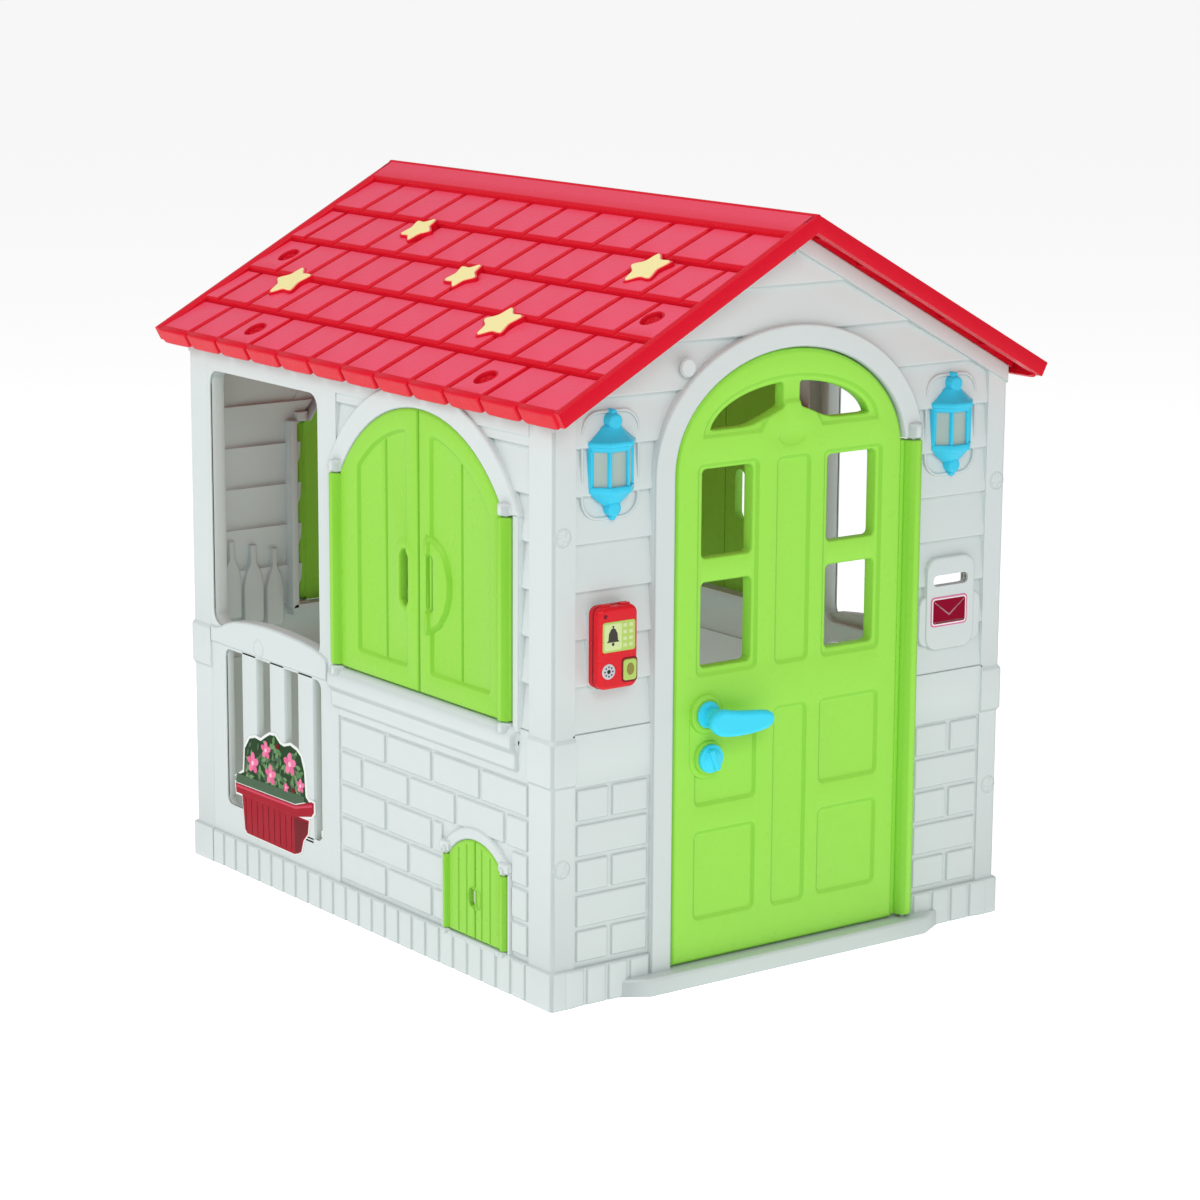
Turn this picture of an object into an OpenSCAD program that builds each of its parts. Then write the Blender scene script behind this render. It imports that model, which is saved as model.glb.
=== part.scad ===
// Plastic playhouse: four snap-together wall panels, two tiled roof halves,
// a front door, arched shutters, small pet doors, lanterns and a door bell.
// Origin: centre of the footprint on the ground. +Z up, the front faces -Y.
// Walls are drawn once with their outer face towards -Y and turned into place.
// On a wall, q is the depth behind its outer face, so proud details have q < 0.

/* [Walls] */
// Outer width across the front
wall_w = 900; // [860:10:1100]
// Outer length from front to back
wall_l = 1062; // [1040:10:1300]
// Depth of the rims round every opening
wall_t = 28; // [24:1:34]
// Thickness of the moulded skin
skin = 4; // [3:0.5:6]
// Width of the corner posts on the end walls
post_w = 40; // [38:1:50]
// Length of wall side that belongs to each corner post
post_return = 61; // [55:1:75]
// Height of the plinth
plinth_h = 60; // [40:1:80]
// How far the plinth stands proud
plinth_proud = 5.5; // [2:0.5:8]
// Top of the brickwork
brick_top = 342; // [300:1:345]
// Height of one siding board
board_h = 72; // [60:1:90]
// Depth of each siding step
board_step = 8; // [4:0.5:10]

/* [Roof] */
// Height of the ridge
ridge_z = 1183.5; // [1150:5:1400]
// Horizontal run of one roof half
roof_run = 480; // [475:5:620]
// Length of the roof from front to back
roof_l = 1176; // [1150:10:1500]
// Roof pitch in degrees
slope = 28.5; // [27:0.5:29]
// Depth of the roof from the tiles to the underside of its ribs
roof_t = 22; // [20:1:30]
// Number of tile rows on one half
tile_rows = 5; // [3:1:7]
// Number of tiles in a row
tile_cols = 12; // [8:1:16]
// Height of the ridge capping along the slope
cap_h = 54; // [40:1:70]

/* [Door] */
// Half width of the doorway
door_half = 228; // [200:1:240]
// Height where the doorway arch springs
door_spring = 800; // [760:5:805]
// Rise of the doorway arch
door_rise = 178; // [150:1:185]
// Thickness of the door leaf
door_t = 24; // [20:1:26]
// Height of the doorstep
step_h = 28; // [20:1:40]
// Radius of the door hinge barrel
door_barrel_r = 15; // [12:0.5:16]
// Width of the trim round the openings
trim_w = 39; // [30:1:42]

/* [Shutters] */
// Half width from the shutter hinge axis to the middle
shutter_half = 236; // [210:1:240]
// Bottom edge of the shutters
shutter_z0 = 428; // [426:1:440]
// Height where the hinge barrels end
shutter_shoulder = 745; // [700:1:750]
// Top of the shutter arch
shutter_top = 876; // [850:1:880]
// Radius of the shutter arch
shutter_arch_r = 264; // [255:1:300]
// Thickness of a shutter leaf
shutter_t = 18; // [14:1:20]
// Radius of the shutter hinge barrel
shutter_barrel_r = 14; // [11:0.5:15]
// Place of the shuttered window along the side wall
side_window_u = 181; // [175:1:190]

/* [Pet door] */
// Place of the pet door along the side wall
pet_u = 330; // [300:1:340]
// Half width from the pet door hinge axis to the middle
pet_half = 78; // [60:1:80]
// Bottom edge of the pet door
pet_z0 = 64; // [62:1:80]
// Height where its hinge barrels end
pet_shoulder = 186; // [160:1:190]
// Radius of the pet door arch
pet_arch_r = 93; // [85:1:110]
// Thickness of a pet door leaf
pet_t = 10; // [8:1:12]
// Radius of the pet door hinge barrel
pet_barrel_r = 7; // [6:0.5:8]

/* [Fits] */
// Radius of the door and shutter hinge pins
pin_r = 5; // [3:0.5:6]
// Radius of the pet door hinge pins
pet_pin_r = 2.5; // [1.5:0.5:3]
// Radial running clearance of every pin and shaft
run_gap = 0.06; // [0.03:0.01:0.1]
// Gap between a leaf and its opening
leaf_gap = 2; // [1.5:0.5:3]
// Gap between panels that stand against each other
seat_gap = 0.3; // [0.1:0.1:0.5]
// Shank radius of the large wall screws
wall_screw_r = 5; // [3:0.5:6]
// Shank radius of the roof screws
roof_screw_r = 4; // [2:0.5:5]

/* [Hidden] */

$fn = 48;
end_d = wall_l / 2;              // face plane of the front and back walls
side_d = wall_w / 2;             // face plane of the side walls
post_in = side_d - post_w;       // inner edge of a corner post
side_end = end_d - post_return;  // where a side panel meets a post
through = 200;                   // long enough to cut through any panel
band_top = 424;                  // top of the flat band above the bricks
belt_z0 = 347;                   // belt round the corner posts
belt_z1 = 417;
belt_proud = 3.6;
brick_step = 3;
brick_row = (brick_top - plinth_h - 6) / 5;
seat_z0 = ridge_z - (roof_t + seat_gap) / cos(slope);
rim_w = 25;                      // rake rim, measured across the slope
rim_proud = 3;
screw_x = side_d - 18;
screw_z = [220, 727];
slope_l = roof_run / cos(slope);
row_h = (slope_l - cap_h) / tile_rows;
tile_pitch = roof_l / tile_cols - 1.5;
tile_step = 8;
tile_skin = 5;
roof_screw_end = [end_d - 16, 248];     // distance from the middle, distance up the slope
roof_screw_side = [335, 48];
screw_sink = 12;
door_axis = [door_half + 19, end_d + 3];
door_top_pin_z = 813;
leaf_proud = 4;
leaf_face = end_d + leaf_proud;
shutter_arch_z = shutter_top - shutter_arch_r;
shutter_proud = 6;
shutter_axis_out = 4;
knuckle_h = 18;
pet_arch_z = pet_shoulder - 57;
pet_proud = 3;
pet_axis_out = 2;
open_u0 = -(side_end - 3);       // open window beside the middle post
open_u1 = -120;
open_top = 862;
rail_z0 = 392;
rail_u = [-425, -118];
slat_w = 52;
slat_pitch = 90;
slat_u0 = -373;
slat_t = 12;
handle_x = -165;
handle_z = 425;
key_z = 355;
handle_shaft_r = 8;
key_shaft_r = 5;
bell_x = -348;
bell_z = 555;
bell_w = 70;
bell_h = 122;
bell_d = 27;
bell_button_at = [17.5, -34.5];
bell_grille_at = [-19, -34];
bell_grille_r = 12;
mail_x = 336;
mail_slot_z = 576;
star_at = [[-262, 366, 36], [-403, 178, 43], [-3, 268, 36], [220, 172, 43], [380, 358, 43]];

white = [0.87, 0.91, 0.90];
green = [0.60, 0.86, 0.32];
red = [0.90, 0.18, 0.28];
cyan = [0.20, 0.80, 0.95];

// Height of the seat under the roof ribs at distance x from the middle
function seat_z(x) = seat_z0 - abs(x) * tan(slope);

// Stepped outline of siding or tiles: going up from a0 in equal rows, each row
// leans back by its step, and the inner face follows it a skin further back.
function stepped(a0, rows, pitch, step, thick) = concat(
    [for (i = [0:rows - 1]) each [[a0 + i * pitch, 0], [a0 + (i + 1) * pitch, step]]],
    [for (i = [rows - 1:-1:0]) each [[a0 + (i + 1) * pitch + thick * (i < rows - 1 ? 1 : 0),
        step + thick], [a0 + i * pitch + thick, thick]]]);

function star(r) = [for (i = [0:9]) let (k = i % 2 == 0 ? r : r * 0.5)
    [k * sin(i * 36), k * cos(i * 36)]];

// ---- helpers -------------------------------------------------------------

// A shape drawn as seen from outside, from depth q0 to q1 behind face plane d
module plate(d, q0, q1) {
    rotate([90, 0, 0]) translate([0, 0, d - q1]) linear_extrude(q1 - q0) children();
}

// A vertical section drawn in Y and Z, run along X
module run_x(x0, x1) {
    translate([x0, 0, 0]) rotate([90, 0, 90]) linear_extrude(x1 - x0) children();
}

module rect(x0, x1, z0, z1) {
    translate([x0, z0]) square([x1 - x0, z1 - z0]);
}

module round_rect(x0, x1, z0, z1, r) {
    rect(x0 + r, x1 - r, z0, z1);
    rect(x0, x1, z0 + r, z1 - r);
    for (x = [x0 + r, x1 - r], z = [z0 + r, z1 - r]) translate([x, z]) circle(r);
}

module slot_2d(x, z, w, h) {
    round_rect(x - w / 2, x + w / 2, z - h / 2, z + h / 2, min(w, h) / 2 - 0.01);
}

module block(x0, x1, y0, y1, z0, z1) {
    translate([x0, y0, z0]) cube([x1 - x0, y1 - y0, z1 - z0]);
}

module upright(x, y, z0, z1, r) {
    translate([x, y, z0]) cylinder(h = z1 - z0, r = r);
}

// Places children on the left slope: X runs up the slope, Z points outwards
module on_slope(y, v) {
    translate([-roof_run + v * cos(slope), y, ridge_z - roof_run * tan(slope) + v * sin(slope)])
        rotate([0, -slope, 0]) children();
}

module both_slopes() {
    children();
    mirror([1, 0, 0]) children();
}

// ---- wall outlines -------------------------------------------------------

module gable_2d(drop = 0, inset = 0) {
    half = side_d - inset;
    polygon([[-half, 0], [half, 0], [half, seat_z(half) - drop],
        [0, seat_z(0) - drop], [-half, seat_z(half) - drop]]);
}

// Arch of the doorway, grown outwards by g
module doorway_2d(g) {
    a = door_half + g;
    b = door_rise + g * 0.9;
    polygon(concat([[a, step_h - (g > 0 ? g : 0)]],
        [for (t = [0:6:180]) [a * cos(t), door_spring + b * sin(t)]],
        [[-a, step_h - (g > 0 ? g : 0)]]));
}

module door_cut_2d() {
    doorway_2d(0);
    rect(door_half - 1, door_axis[0] + door_barrel_r + leaf_gap, step_h,
        door_top_pin_z + leaf_gap);
}

// Arch of a shuttered window about its own middle, grown outwards by g
module window_arch_2d(g) {
    intersection() {
        translate([0, shutter_arch_z]) circle(shutter_arch_r + g, $fn = 96);
        rect(-shutter_half - through, shutter_half + through, shutter_shoulder - 1,
            shutter_top + g + 1);
    }
    side = shutter_half - 8 + g;
    rect(-side, side, shutter_z0 - g, shutter_shoulder);
}

module window_cut_2d() {
    window_arch_2d(leaf_gap);
    side = shutter_half + shutter_barrel_r + leaf_gap;
    rect(-side, side, shutter_z0 - leaf_gap, shutter_shoulder + leaf_gap);
}

module pet_arch_2d(g) {
    intersection() {
        translate([0, pet_arch_z]) circle(pet_arch_r + g);
        rect(-pet_half * 2, pet_half * 2, pet_shoulder - 1, pet_arch_z + pet_arch_r + g);
    }
    side = pet_half - 6 + g;
    rect(-side, side, pet_z0 - g, pet_shoulder);
}

module pet_cut_2d() {
    pet_arch_2d(leaf_gap);
    side = pet_half + pet_barrel_r + leaf_gap;
    rect(-side, side, pet_z0 - leaf_gap, pet_shoulder + leaf_gap);
}

// ---- wall surfaces -------------------------------------------------------

// Siding boards between two heights, leaning back from just behind the face
module siding(d, x0, x1, z0, z1) {
    rows = ceil((z1 - z0) / board_h);
    run_x(x0, x1) polygon([for (p = stepped(z0, rows, board_h, board_step, skin))
        [1 - d + p[1], p[0]]]);
}

// Bricks in five rows; joints holds the joint places for odd and even rows
module bricks(d, x0, x1, joints) {
    plate(d, brick_step, brick_step + skin) rect(x0, x1, plinth_h - 2, brick_top + 2);
    plate(d, 0, brick_step + 0.5) for (row = [0:4]) {
        marks = concat([x0 + 2], joints[row % 2], [x1 - 2]);
        z = brick_top - (row + 1) * brick_row;
        for (i = [0:len(marks) - 2])
            rect(marks[i] + 2.5, marks[i + 1] - 2.5, z + 2, z + brick_row - 3);
    }
}

module plinth(d, x0, x1) {
    boards = floor((x1 - x0) / 39);
    pitch = (x1 - x0) / boards;
    difference() {
        plate(d, -plinth_proud, skin) rect(x0, x1, 0, plinth_h);
        plate(d, -plinth_proud - 1, -plinth_proud + 1.5) for (i = [1:boards - 1])
            rect(x0 + i * pitch - 1, x0 + i * pitch + 1, -1, plinth_h + 1);
    }
    plate(d, 0, wall_t) rect(x0, x1, 0, 8);
}

// Hollow trim round an opening: outline child 0, opening child 1, core child 2
module hollow_trim(d, proud) {
    difference() {
        plate(d, -proud, wall_t) difference() { children(0); children(1); }
        plate(d, -proud + skin, wall_t + 1) children(2);
    }
}

// Knuckles above and below a hinge barrel at (u, out) beyond face plane d
module knuckles(d, u, out, r, z_low, z_high, h, hole_r) {
    for (z = [z_low - h, z_high]) difference() {
        union() {
            upright(u, -d - out, z, z + h, r);
            block(u - r * (u > 0 ? 0.7 : 1), u + r * (u > 0 ? 1 : 0.7), -d - out, -d + skin,
                z, z + h);
        }
        upright(u, -d - out, z - 1, z + h + 1, hole_r);
    }
}

// A lap joint strip at the end of a side panel that the corner post covers
module lap_strip(u_sign) {
    u0 = side_end - 5;
    u1 = end_d - skin - seat_gap;
    x_out = side_d - skin - seat_gap;
    mirror([u_sign < 0 ? 1 : 0, 0, 0]) difference() {
        union() {
            block(u0, u1, -x_out, -x_out + 5, 9, seat_z(side_d) - rim_w / cos(slope) - 4);
            for (z = screw_z)
                block(u0, u1, -x_out, -side_d + wall_t, z - 20, z + 20);
        }
        for (z = screw_z) translate([u1 + 1, -screw_x, z]) rotate([0, -90, 0])
            cylinder(h = 60, r = wall_screw_r + run_gap);
    }
}

// Corner posts, belt, plinth and returns shared by both end walls
module end_wall_frame() {
    intersection() {
        plate(end_d, -10, wall_t) gable_2d();
        union() {
            for (s = [-1, 1]) {
                plate(end_d, 0, skin)
                    rect(s < 0 ? -side_d : post_in, s < 0 ? -post_in : side_d, 0, ridge_z);
                plate(end_d, 0, wall_t) rect(s * (post_in - 2) - 2, s * (post_in - 2) + 2,
                    0, ridge_z);
            }
            difference() {
                plate(end_d, -rim_proud, wall_t) gable_2d();
                plate(end_d, -through, through) gable_2d(rim_w / cos(slope), -1);
            }
        }
    }
    for (s = [-1, 1]) mirror([s < 0 ? 1 : 0, 0, 0]) {
        block(side_d - skin, side_d, -end_d, -side_end, 0, seat_z(side_d));
        for (p = [[0, plinth_h, plinth_proud], [belt_z0, belt_z1, belt_proud]]) {
            block(side_d - skin, side_d + p[2], -end_d - p[2], -side_end, p[0], p[1]);
            block(post_in, side_d + p[2], -end_d - p[2], -end_d + skin, p[0], p[1]);
        }
        // boss that the roof screw bites into
        intersection() {
            plate(end_d, 2, wall_t) gable_2d();
            mirror([1, 0, 0]) on_slope(-roof_screw_end[0], roof_screw_end[1])
                translate([-16, -14, -roof_t - 42]) cube([32, 30, 44]);
        }
    }
}

module post_screw_holes() {
    for (x = [-screw_x, screw_x], z = screw_z) translate([x, -end_d - 1, z])
        rotate([-90, 0, 0]) {
            cylinder(h = 3.6, r = 17.5);
            cylinder(h = 20, r = wall_screw_r + 0.4);
        }
}

module end_roof_screw_holes() {
    both_slopes() on_slope(-roof_screw_end[0], roof_screw_end[1])
        translate([0, 0, -roof_t - 34]) cylinder(h = 60, r = roof_screw_r + run_gap);
}

// ---- the four walls ------------------------------------------------------

module front_wall() {
    color(white) difference() {
        union() {
            end_wall_frame();
            intersection() {
                plate(end_d, -2, wall_t) gable_2d(4);
                difference() {
                    siding(end_d, -post_in, post_in, band_top, ridge_z);
                    plate(end_d, -through, through) doorway_2d(trim_w - 1);
                }
            }
            for (s = [-1, 1]) mirror([s < 0 ? 1 : 0, 0, 0]) {
                bricks(end_d, door_half + trim_w, post_in, [[side_d - 108], []]);
                plate(end_d, 0, skin)
                    rect(door_half + trim_w - 1, post_in, brick_top, band_top + skin);
                plinth(end_d, door_half + trim_w - 1, side_d - 6);
            }
            hollow_trim(end_d, 7) {
                intersection() { doorway_2d(trim_w); rect(-side_d, side_d, 0, ridge_z); }
                doorway_2d(0);
                difference() {
                    doorway_2d(trim_w - 4);
                    doorway_2d(4);
                    rect(door_half - 4, door_half + trim_w, 0, door_top_pin_z + 30);
                    rect(-side_d, side_d, 0, step_h + 30);
                }
            }
            doorstep();
            door_stop();
            door_knuckle();
            mail_plate();
            plate(end_d, bell_back_q, bell_pad_q) bell_pad_2d();
        }
        plate(end_d, -through, through) difference() {
            door_cut_2d();
            rect(-door_half - 1, -door_half + 8, step_h - 1, door_spring);
        }
        plate(end_d, -through, wall_t - 6) rect(-door_half, -door_half + 9, step_h, door_spring);
        post_screw_holes();
        end_roof_screw_holes();
        plate(end_d, -through, through) slot_2d(mail_x, mail_slot_z, 74, 18);
        bell_wall_holes();
        translate([door_axis[0], -door_axis[1], step_h - 14])
            cylinder(h = 20, r = pin_r + run_gap);
        upright(door_axis[0], -door_axis[1], door_top_pin_z, door_top_pin_z + 24,
            pin_r + run_gap);
    }
}

// Step in front of the door that carries the lower hinge pin
module doorstep() {
    tread = 285;
    foot = 335;
    reach = 30;
    linear_extrude(step_h) polygon([[-foot, -end_d], [-tread, -end_d - reach],
        [tread - 9, -end_d - reach], [foot, -end_d], [foot - 60, -end_d + wall_t],
        [-foot + 60, -end_d + wall_t]]);
}

// Strip that the closed door rests against
module door_stop() {
    plate(end_d, wall_t - 6, wall_t) rect(-door_half - 2, -door_half + 8, step_h, door_spring);
}

module door_knuckle() {
    z0 = door_top_pin_z + leaf_gap - 1;
    upright(door_axis[0], -door_axis[1], z0, z0 + 26, door_barrel_r);
    block(door_axis[0] - 8, door_axis[0] + door_barrel_r, -door_axis[1], -end_d + wall_t,
        z0, z0 + 26);
}

// Letter plate with its slot, moulded on the siding
module mail_plate() {
    plate(end_d, -1.6, 10) round_rect(mail_x - 66, mail_x + 66, 470, 552, 18);
    plate(end_d, -2.8, 10) round_rect(mail_x - 52, mail_x + 52, 462, 612, 24);
}

module bell_pad_2d() {
    round_rect(bell_x - bell_w / 2 - 4, bell_x + bell_w / 2 + 4, bell_z - bell_h / 2 - 4,
        bell_z + bell_h / 2 + 4, 17);
}

module bell_wall_holes() {
    plate(end_d, -through, through) {
        rect(bell_x - 22, bell_x + 22, bell_z - 5, bell_z + 48);
        for (z = bell_screw_z) translate([bell_x, z]) circle(1.5 + run_gap);
    }
}

module back_wall() {
    color(white) rotate([0, 0, 180]) difference() {
        union() {
            end_wall_frame();
            intersection() {
                plate(end_d, -2, wall_t) gable_2d(4);
                difference() {
                    siding(end_d, -post_in, post_in, band_top, ridge_z);
                    plate(end_d, -through, through) window_arch_2d(trim_w);
                }
            }
            bricks(end_d, -post_in, post_in, [[-272, -137, 0, 137, 272], [-340, -205, -68, 68, 205, 340]]);
            plate(end_d, 0, skin) rect(-post_in, post_in, brick_top, band_top + skin);
            plinth(end_d, -side_d + 6, side_d - 6);
            window_frame(end_d, 0);
        }
        window_holes(end_d, 0);
        post_screw_holes();
        end_roof_screw_holes();
    }
}

// Trim, sill and hinge knuckles of a shuttered window with its middle at u
module window_frame(d, u) {
    translate([u, 0, 0]) {
        hollow_trim(d, 5) {
            intersection() {
                window_arch_2d(trim_w);
                rect(-through * 2, through * 2, shutter_z0 - 12, seat_z(side_d) - 2);
            }
            window_arch_2d(0);
            difference() {
                window_arch_2d(trim_w - 4);
                window_arch_2d(5);
                rect(-through * 2, through * 2, 0, shutter_shoulder + knuckle_h + 6);
            }
        }
        sill(d);
        for (s = [-1, 1])
            knuckles(d, s * shutter_half, shutter_axis_out, shutter_barrel_r,
                shutter_z0 + 2, shutter_shoulder + leaf_gap, knuckle_h, pin_r + run_gap);
    }
}

module window_holes(d, u) {
    translate([u, 0, 0]) {
        difference() {
            plate(d, -through, through) window_cut_2d();
            for (s = [-1, 1]) upright(s * shutter_half, -d - shutter_axis_out,
                shutter_z0 - 20, shutter_z0 + 2, shutter_barrel_r + 1);
        }
        for (s = [-1, 1]) upright(s * shutter_half, -d - shutter_axis_out, shutter_z0 - 14,
            shutter_shoulder + leaf_gap + 14, pin_r + run_gap);
    }
}

module sill(d) {
    half = shutter_half + 28;
    proud = 14;
    top = shutter_z0 - leaf_gap;
    run_x(-half, half) polygon([[-d + wall_t, top], [-d - proud, top], [-d - proud, top - 22],
        [-d - 6, top - 50], [-d - 6, top - 70], [-d + skin, top - 70],
        [-d + skin, top - 10], [-d + wall_t, top - 10]]);
}

// One side wall: an open window over a railing, a shuttered window and a pet door
module side_wall() {
    wall_top = seat_z(side_d);
    u_in = -65;
    difference() {
        union() {
            intersection() {
                union() {
                    siding(side_d, u_in, side_end - seat_gap, band_top, wall_top + 40);
                    plate(side_d, 0, skin) {
                        rect(-side_end + seat_gap, u_in, 0, wall_top - 1);
                        rect(u_in - 1, side_end - seat_gap, brick_top, band_top + skin);
                    }
                }
                plate(side_d, -20, wall_t) rect(-side_end + seat_gap, side_end - seat_gap,
                    0, wall_top - 1);
            }
            top_beam();
            bricks(side_d, u_in, side_end - seat_gap, [[75, 207, 340], [5, 140, 273, 407]]);
            plinth(side_d, -side_end + seat_gap, side_end - seat_gap);
            open_window_rim();
            intersection() {
                window_frame(side_d, side_window_u);
                plate(side_d, -30, wall_t) rect(-through, side_end - seat_gap, 0, wall_top - 1);
            }
            pet_frame();
            for (s = [-1, 1]) lap_strip(s);
        }
        window_holes(side_d, side_window_u);
        translate([pet_u, 0, 0]) {
            plate(side_d, -through, through) pet_cut_2d();
            for (s = [-1, 1]) upright(s * pet_half, -side_d - pet_axis_out, pet_z0 - 12,
                pet_shoulder + leaf_gap + 10, pet_pin_r + run_gap);
        }
        plate(side_d, -through, through)
            round_rect(open_u0, open_u1, rail_z0, open_top, 24);
        plate(side_d, -through, through)
            round_rect(rail_u[0], rail_u[1], 115, rail_z0 - 2, 14);
        for (s = [-1, 1]) side_roof_screw_hole(s);
    }
    railing();
    // the window cut crosses the knuckles, so they are added after it
    translate([pet_u, 0, 0]) for (s = [-1, 1])
        knuckles(side_d, s * pet_half, pet_axis_out, pet_barrel_r, pet_z0 - leaf_gap / 2,
            pet_shoulder + leaf_gap / 2, 9, pet_pin_r + run_gap);
}

module side_roof_screw_hole(s) {
    rotate([0, 0, 90]) on_slope(s * roof_screw_side[0], roof_screw_side[1])
        translate([0, 0, -roof_t - 30]) cylinder(h = 50, r = roof_screw_r + run_gap);
}

// Beam under the roof, with a sloped top that the roof half lies on
module top_beam() {
    depth = wall_t + 16;
    z = seat_z(side_d);
    run_x(-side_end + seat_gap, side_end - seat_gap) polygon([[-side_d, z - 40], [-side_d, z],
        [-side_d + depth, z + depth * tan(slope)], [-side_d + depth, z - 6],
        [-side_d + depth - 5, z - 10], [-side_d + skin, z - 10], [-side_d + skin, z - 40]]);
}

// Rim round the open window, and its curved top rail
module open_window_rim() {
    plate(side_d, 0, wall_t) difference() {
        rect(seat_gap - side_end, open_u1 + 5, rail_z0 - 10, open_top + 5);
        round_rect(open_u0, open_u1, rail_z0 + 2, open_top, 24);
    }
    plate(side_d, 0, wall_t) rect(-70, -65, 70, open_top);
}

module railing() {
    mid = (open_u0 + open_u1) / 2;
    half = (open_u1 - open_u0) / 2;
    rise = 30;
    sag_r = (half * half + rise * rise) / (2 * rise);
    plate(side_d, -belt_proud, 18) {
        rect(open_u0 - 2.5, open_u1 + 25, rail_z0, 421);
        intersection() {
            translate([mid, 420 + rise - sag_r]) circle(sag_r, $fn = 180);
            rect(open_u0 - 2.5, open_u1, 420, 420 + rise + 1);
        }
    }
    plate(side_d, 0, 17) difference() {
        rect(rail_u[0] - 8, rail_u[1] + 8, 107, rail_z0);
        round_rect(rail_u[0], rail_u[1], 115, rail_z0 + 20, 14);
    }
    plate(side_d, 0, slat_t) for (i = [0:2])
        rect(slat_u0 + i * slat_pitch, slat_u0 + i * slat_pitch + slat_w, 100, rail_z0 + 2);
}

module pet_frame() {
    translate([pet_u, 0, 0]) {
        plate(side_d, -3, wall_t - 10) difference() {
            intersection() {
                pet_arch_2d(20);
                rect(-through, through, pet_z0 - leaf_gap, through * 2);
            }
            pet_arch_2d(0);
        }
    }
}

module left_wall() { color(white) rotate([0, 0, -90]) side_wall(); }
module right_wall() { color(white) rotate([0, 0, 90]) side_wall(); }

// ---- roof ----------------------------------------------------------------

module tile_skin_profile() {
    points = stepped(0, tile_rows, row_h, tile_step, tile_skin);
    polygon([for (p = points) [p[0], -p[1]]]);
    polygon([[slope_l - cap_h, 0], [slope_l, 0], [slope_l, -tile_skin - 3],
        [slope_l - cap_h + tile_skin, -tile_skin - 3], [slope_l - cap_h, -tile_step - 2]]);
}

module roof_half() {
    half_l = roof_l / 2;
    lean = atan(tile_step / row_h);
    intersection() {
        translate([-roof_run - 40, -half_l, 0])
            cube([roof_run + 40 - seat_gap, roof_l, ridge_z + 20]);
        difference() {
            union() {
                on_slope(half_l, 0) rotate([90, 0, 0]) linear_extrude(roof_l)
                    tile_skin_profile();
                // rake and eave flanges, then the seats over the walls
                for (y = [-half_l, half_l - 8]) on_slope(y, 0)
                    translate([0, 0, -roof_t + 1]) cube([slope_l, 8, roof_t - 1]);
                on_slope(-half_l, 0) translate([0, 0, -24]) cube([7, roof_l, 24]);
                for (y = [-end_d, end_d - wall_t]) on_slope(y, 0)
                    translate([12, 0, -roof_t]) cube([slope_l, wall_t, roof_t - tile_step]);
                on_slope(-side_end, 0) translate([24, 0, -roof_t])
                    cube([40, side_end * 2, roof_t - tile_step]);
                for (y = [-300, 0, 300]) on_slope(y - 2, 0)
                    translate([6, 0, -roof_t + 4]) cube([slope_l, 4, roof_t - tile_step - 4]);
                on_slope(-half_l, 0) translate([slope_l - 14, 0, -roof_t + 2])
                    cube([20, roof_l, roof_t - 6]);
                for (s = star_at) on_slope(s[0] * -1, s[1]) star_seat(s[2]);
                for (p = roof_screw_places) on_slope(p[0], p[1]) roof_screw_boss();
            }
            for (row = [0:tile_rows - 1]) tile_joints(row, lean);
            for (p = roof_screw_places) on_slope(p[0], p[1]) {
                translate([0, 0, -screw_sink]) cylinder(h = 30, r = 18);
                translate([0, 0, -60]) cylinder(h = 60, r = roof_screw_r + 0.4);
            }
        }
    }
}

roof_screw_places = [for (p = [roof_screw_end, roof_screw_side], s = [-1, 1]) [s * p[0], p[1]]];

module roof_screw_boss() {
    translate([0, 0, -roof_t]) cylinder(h = roof_t - tile_step - 1, r = 21);
}

module star_seat(r) {
    translate([0, 0, -tile_step - 2]) linear_extrude(tile_step + 3.5)
        rotate(90) polygon(star(r + 5));
}

module tile_joints(row, lean) {
    shift = row % 2 == 0 ? 0 : 0.5;
    for (i = [-floor(tile_cols / 2):floor(tile_cols / 2)]) {
        y = (i + shift) * tile_pitch;
        if (abs(y) < roof_l / 2 - 12)
            on_slope(y - 2, row * row_h + 0.5) rotate([0, lean, 0])
                translate([0, 0, -2.5]) cube([row_h - 3, 4, 30]);
    }
}

module roof_left() { color(red) roof_half(); }
module roof_right() { color(red) rotate([0, 0, 180]) roof_half(); }

module star_badges() {
    for (s = star_at) on_slope(s[0] * -1, s[1]) translate([0, 0, 1.5])
        linear_extrude(3) rotate(90) polygon(star(s[2]));
}

module stars_left() { color("khaki") star_badges(); }
module stars_right() { color("khaki") rotate([0, 0, 180]) star_badges(); }

// ---- fasteners -----------------------------------------------------------

module cross_recess(r, depth) {
    for (a = [0, 90]) rotate(a) translate([-r, -1.5, -1]) cube([2 * r, 3, depth + 1]);
}

// Broad-headed plastic screw pointing along +Z, with its head face at z = 0
module broad_screw(head_r, head_h, shank_r, shank_l) {
    difference() {
        union() {
            cylinder(h = head_h, r = head_r);
            cylinder(h = head_h + shank_l, r = shank_r);
        }
        cross_recess(head_r * 0.5, head_h * 0.4);
        difference() {
            translate([0, 0, -1]) cylinder(h = 1.8, r = head_r * 0.78);
            translate([0, 0, -1]) cylinder(h = 1.8, r = head_r * 0.66);
        }
    }
}

module wall_screws() {
    head_h = 2.6;
    color(white) for (turn = [0, 180]) rotate([0, 0, turn]) for (x = [-screw_x, screw_x],
        z = screw_z) translate([x, -end_d, z]) rotate([-90, 0, 0])
            broad_screw(17, head_h, wall_screw_r, 40);
}

module roof_screws() {
    head_h = 4;
    color(red) for (turn = [0, 180]) rotate([0, 0, turn]) for (p = roof_screw_places)
        on_slope(p[0], p[1]) translate([0, 0, -screw_sink + head_h]) mirror([0, 0, 1])
            broad_screw(13, head_h - 0.1, roof_screw_r, 32);
}

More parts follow.
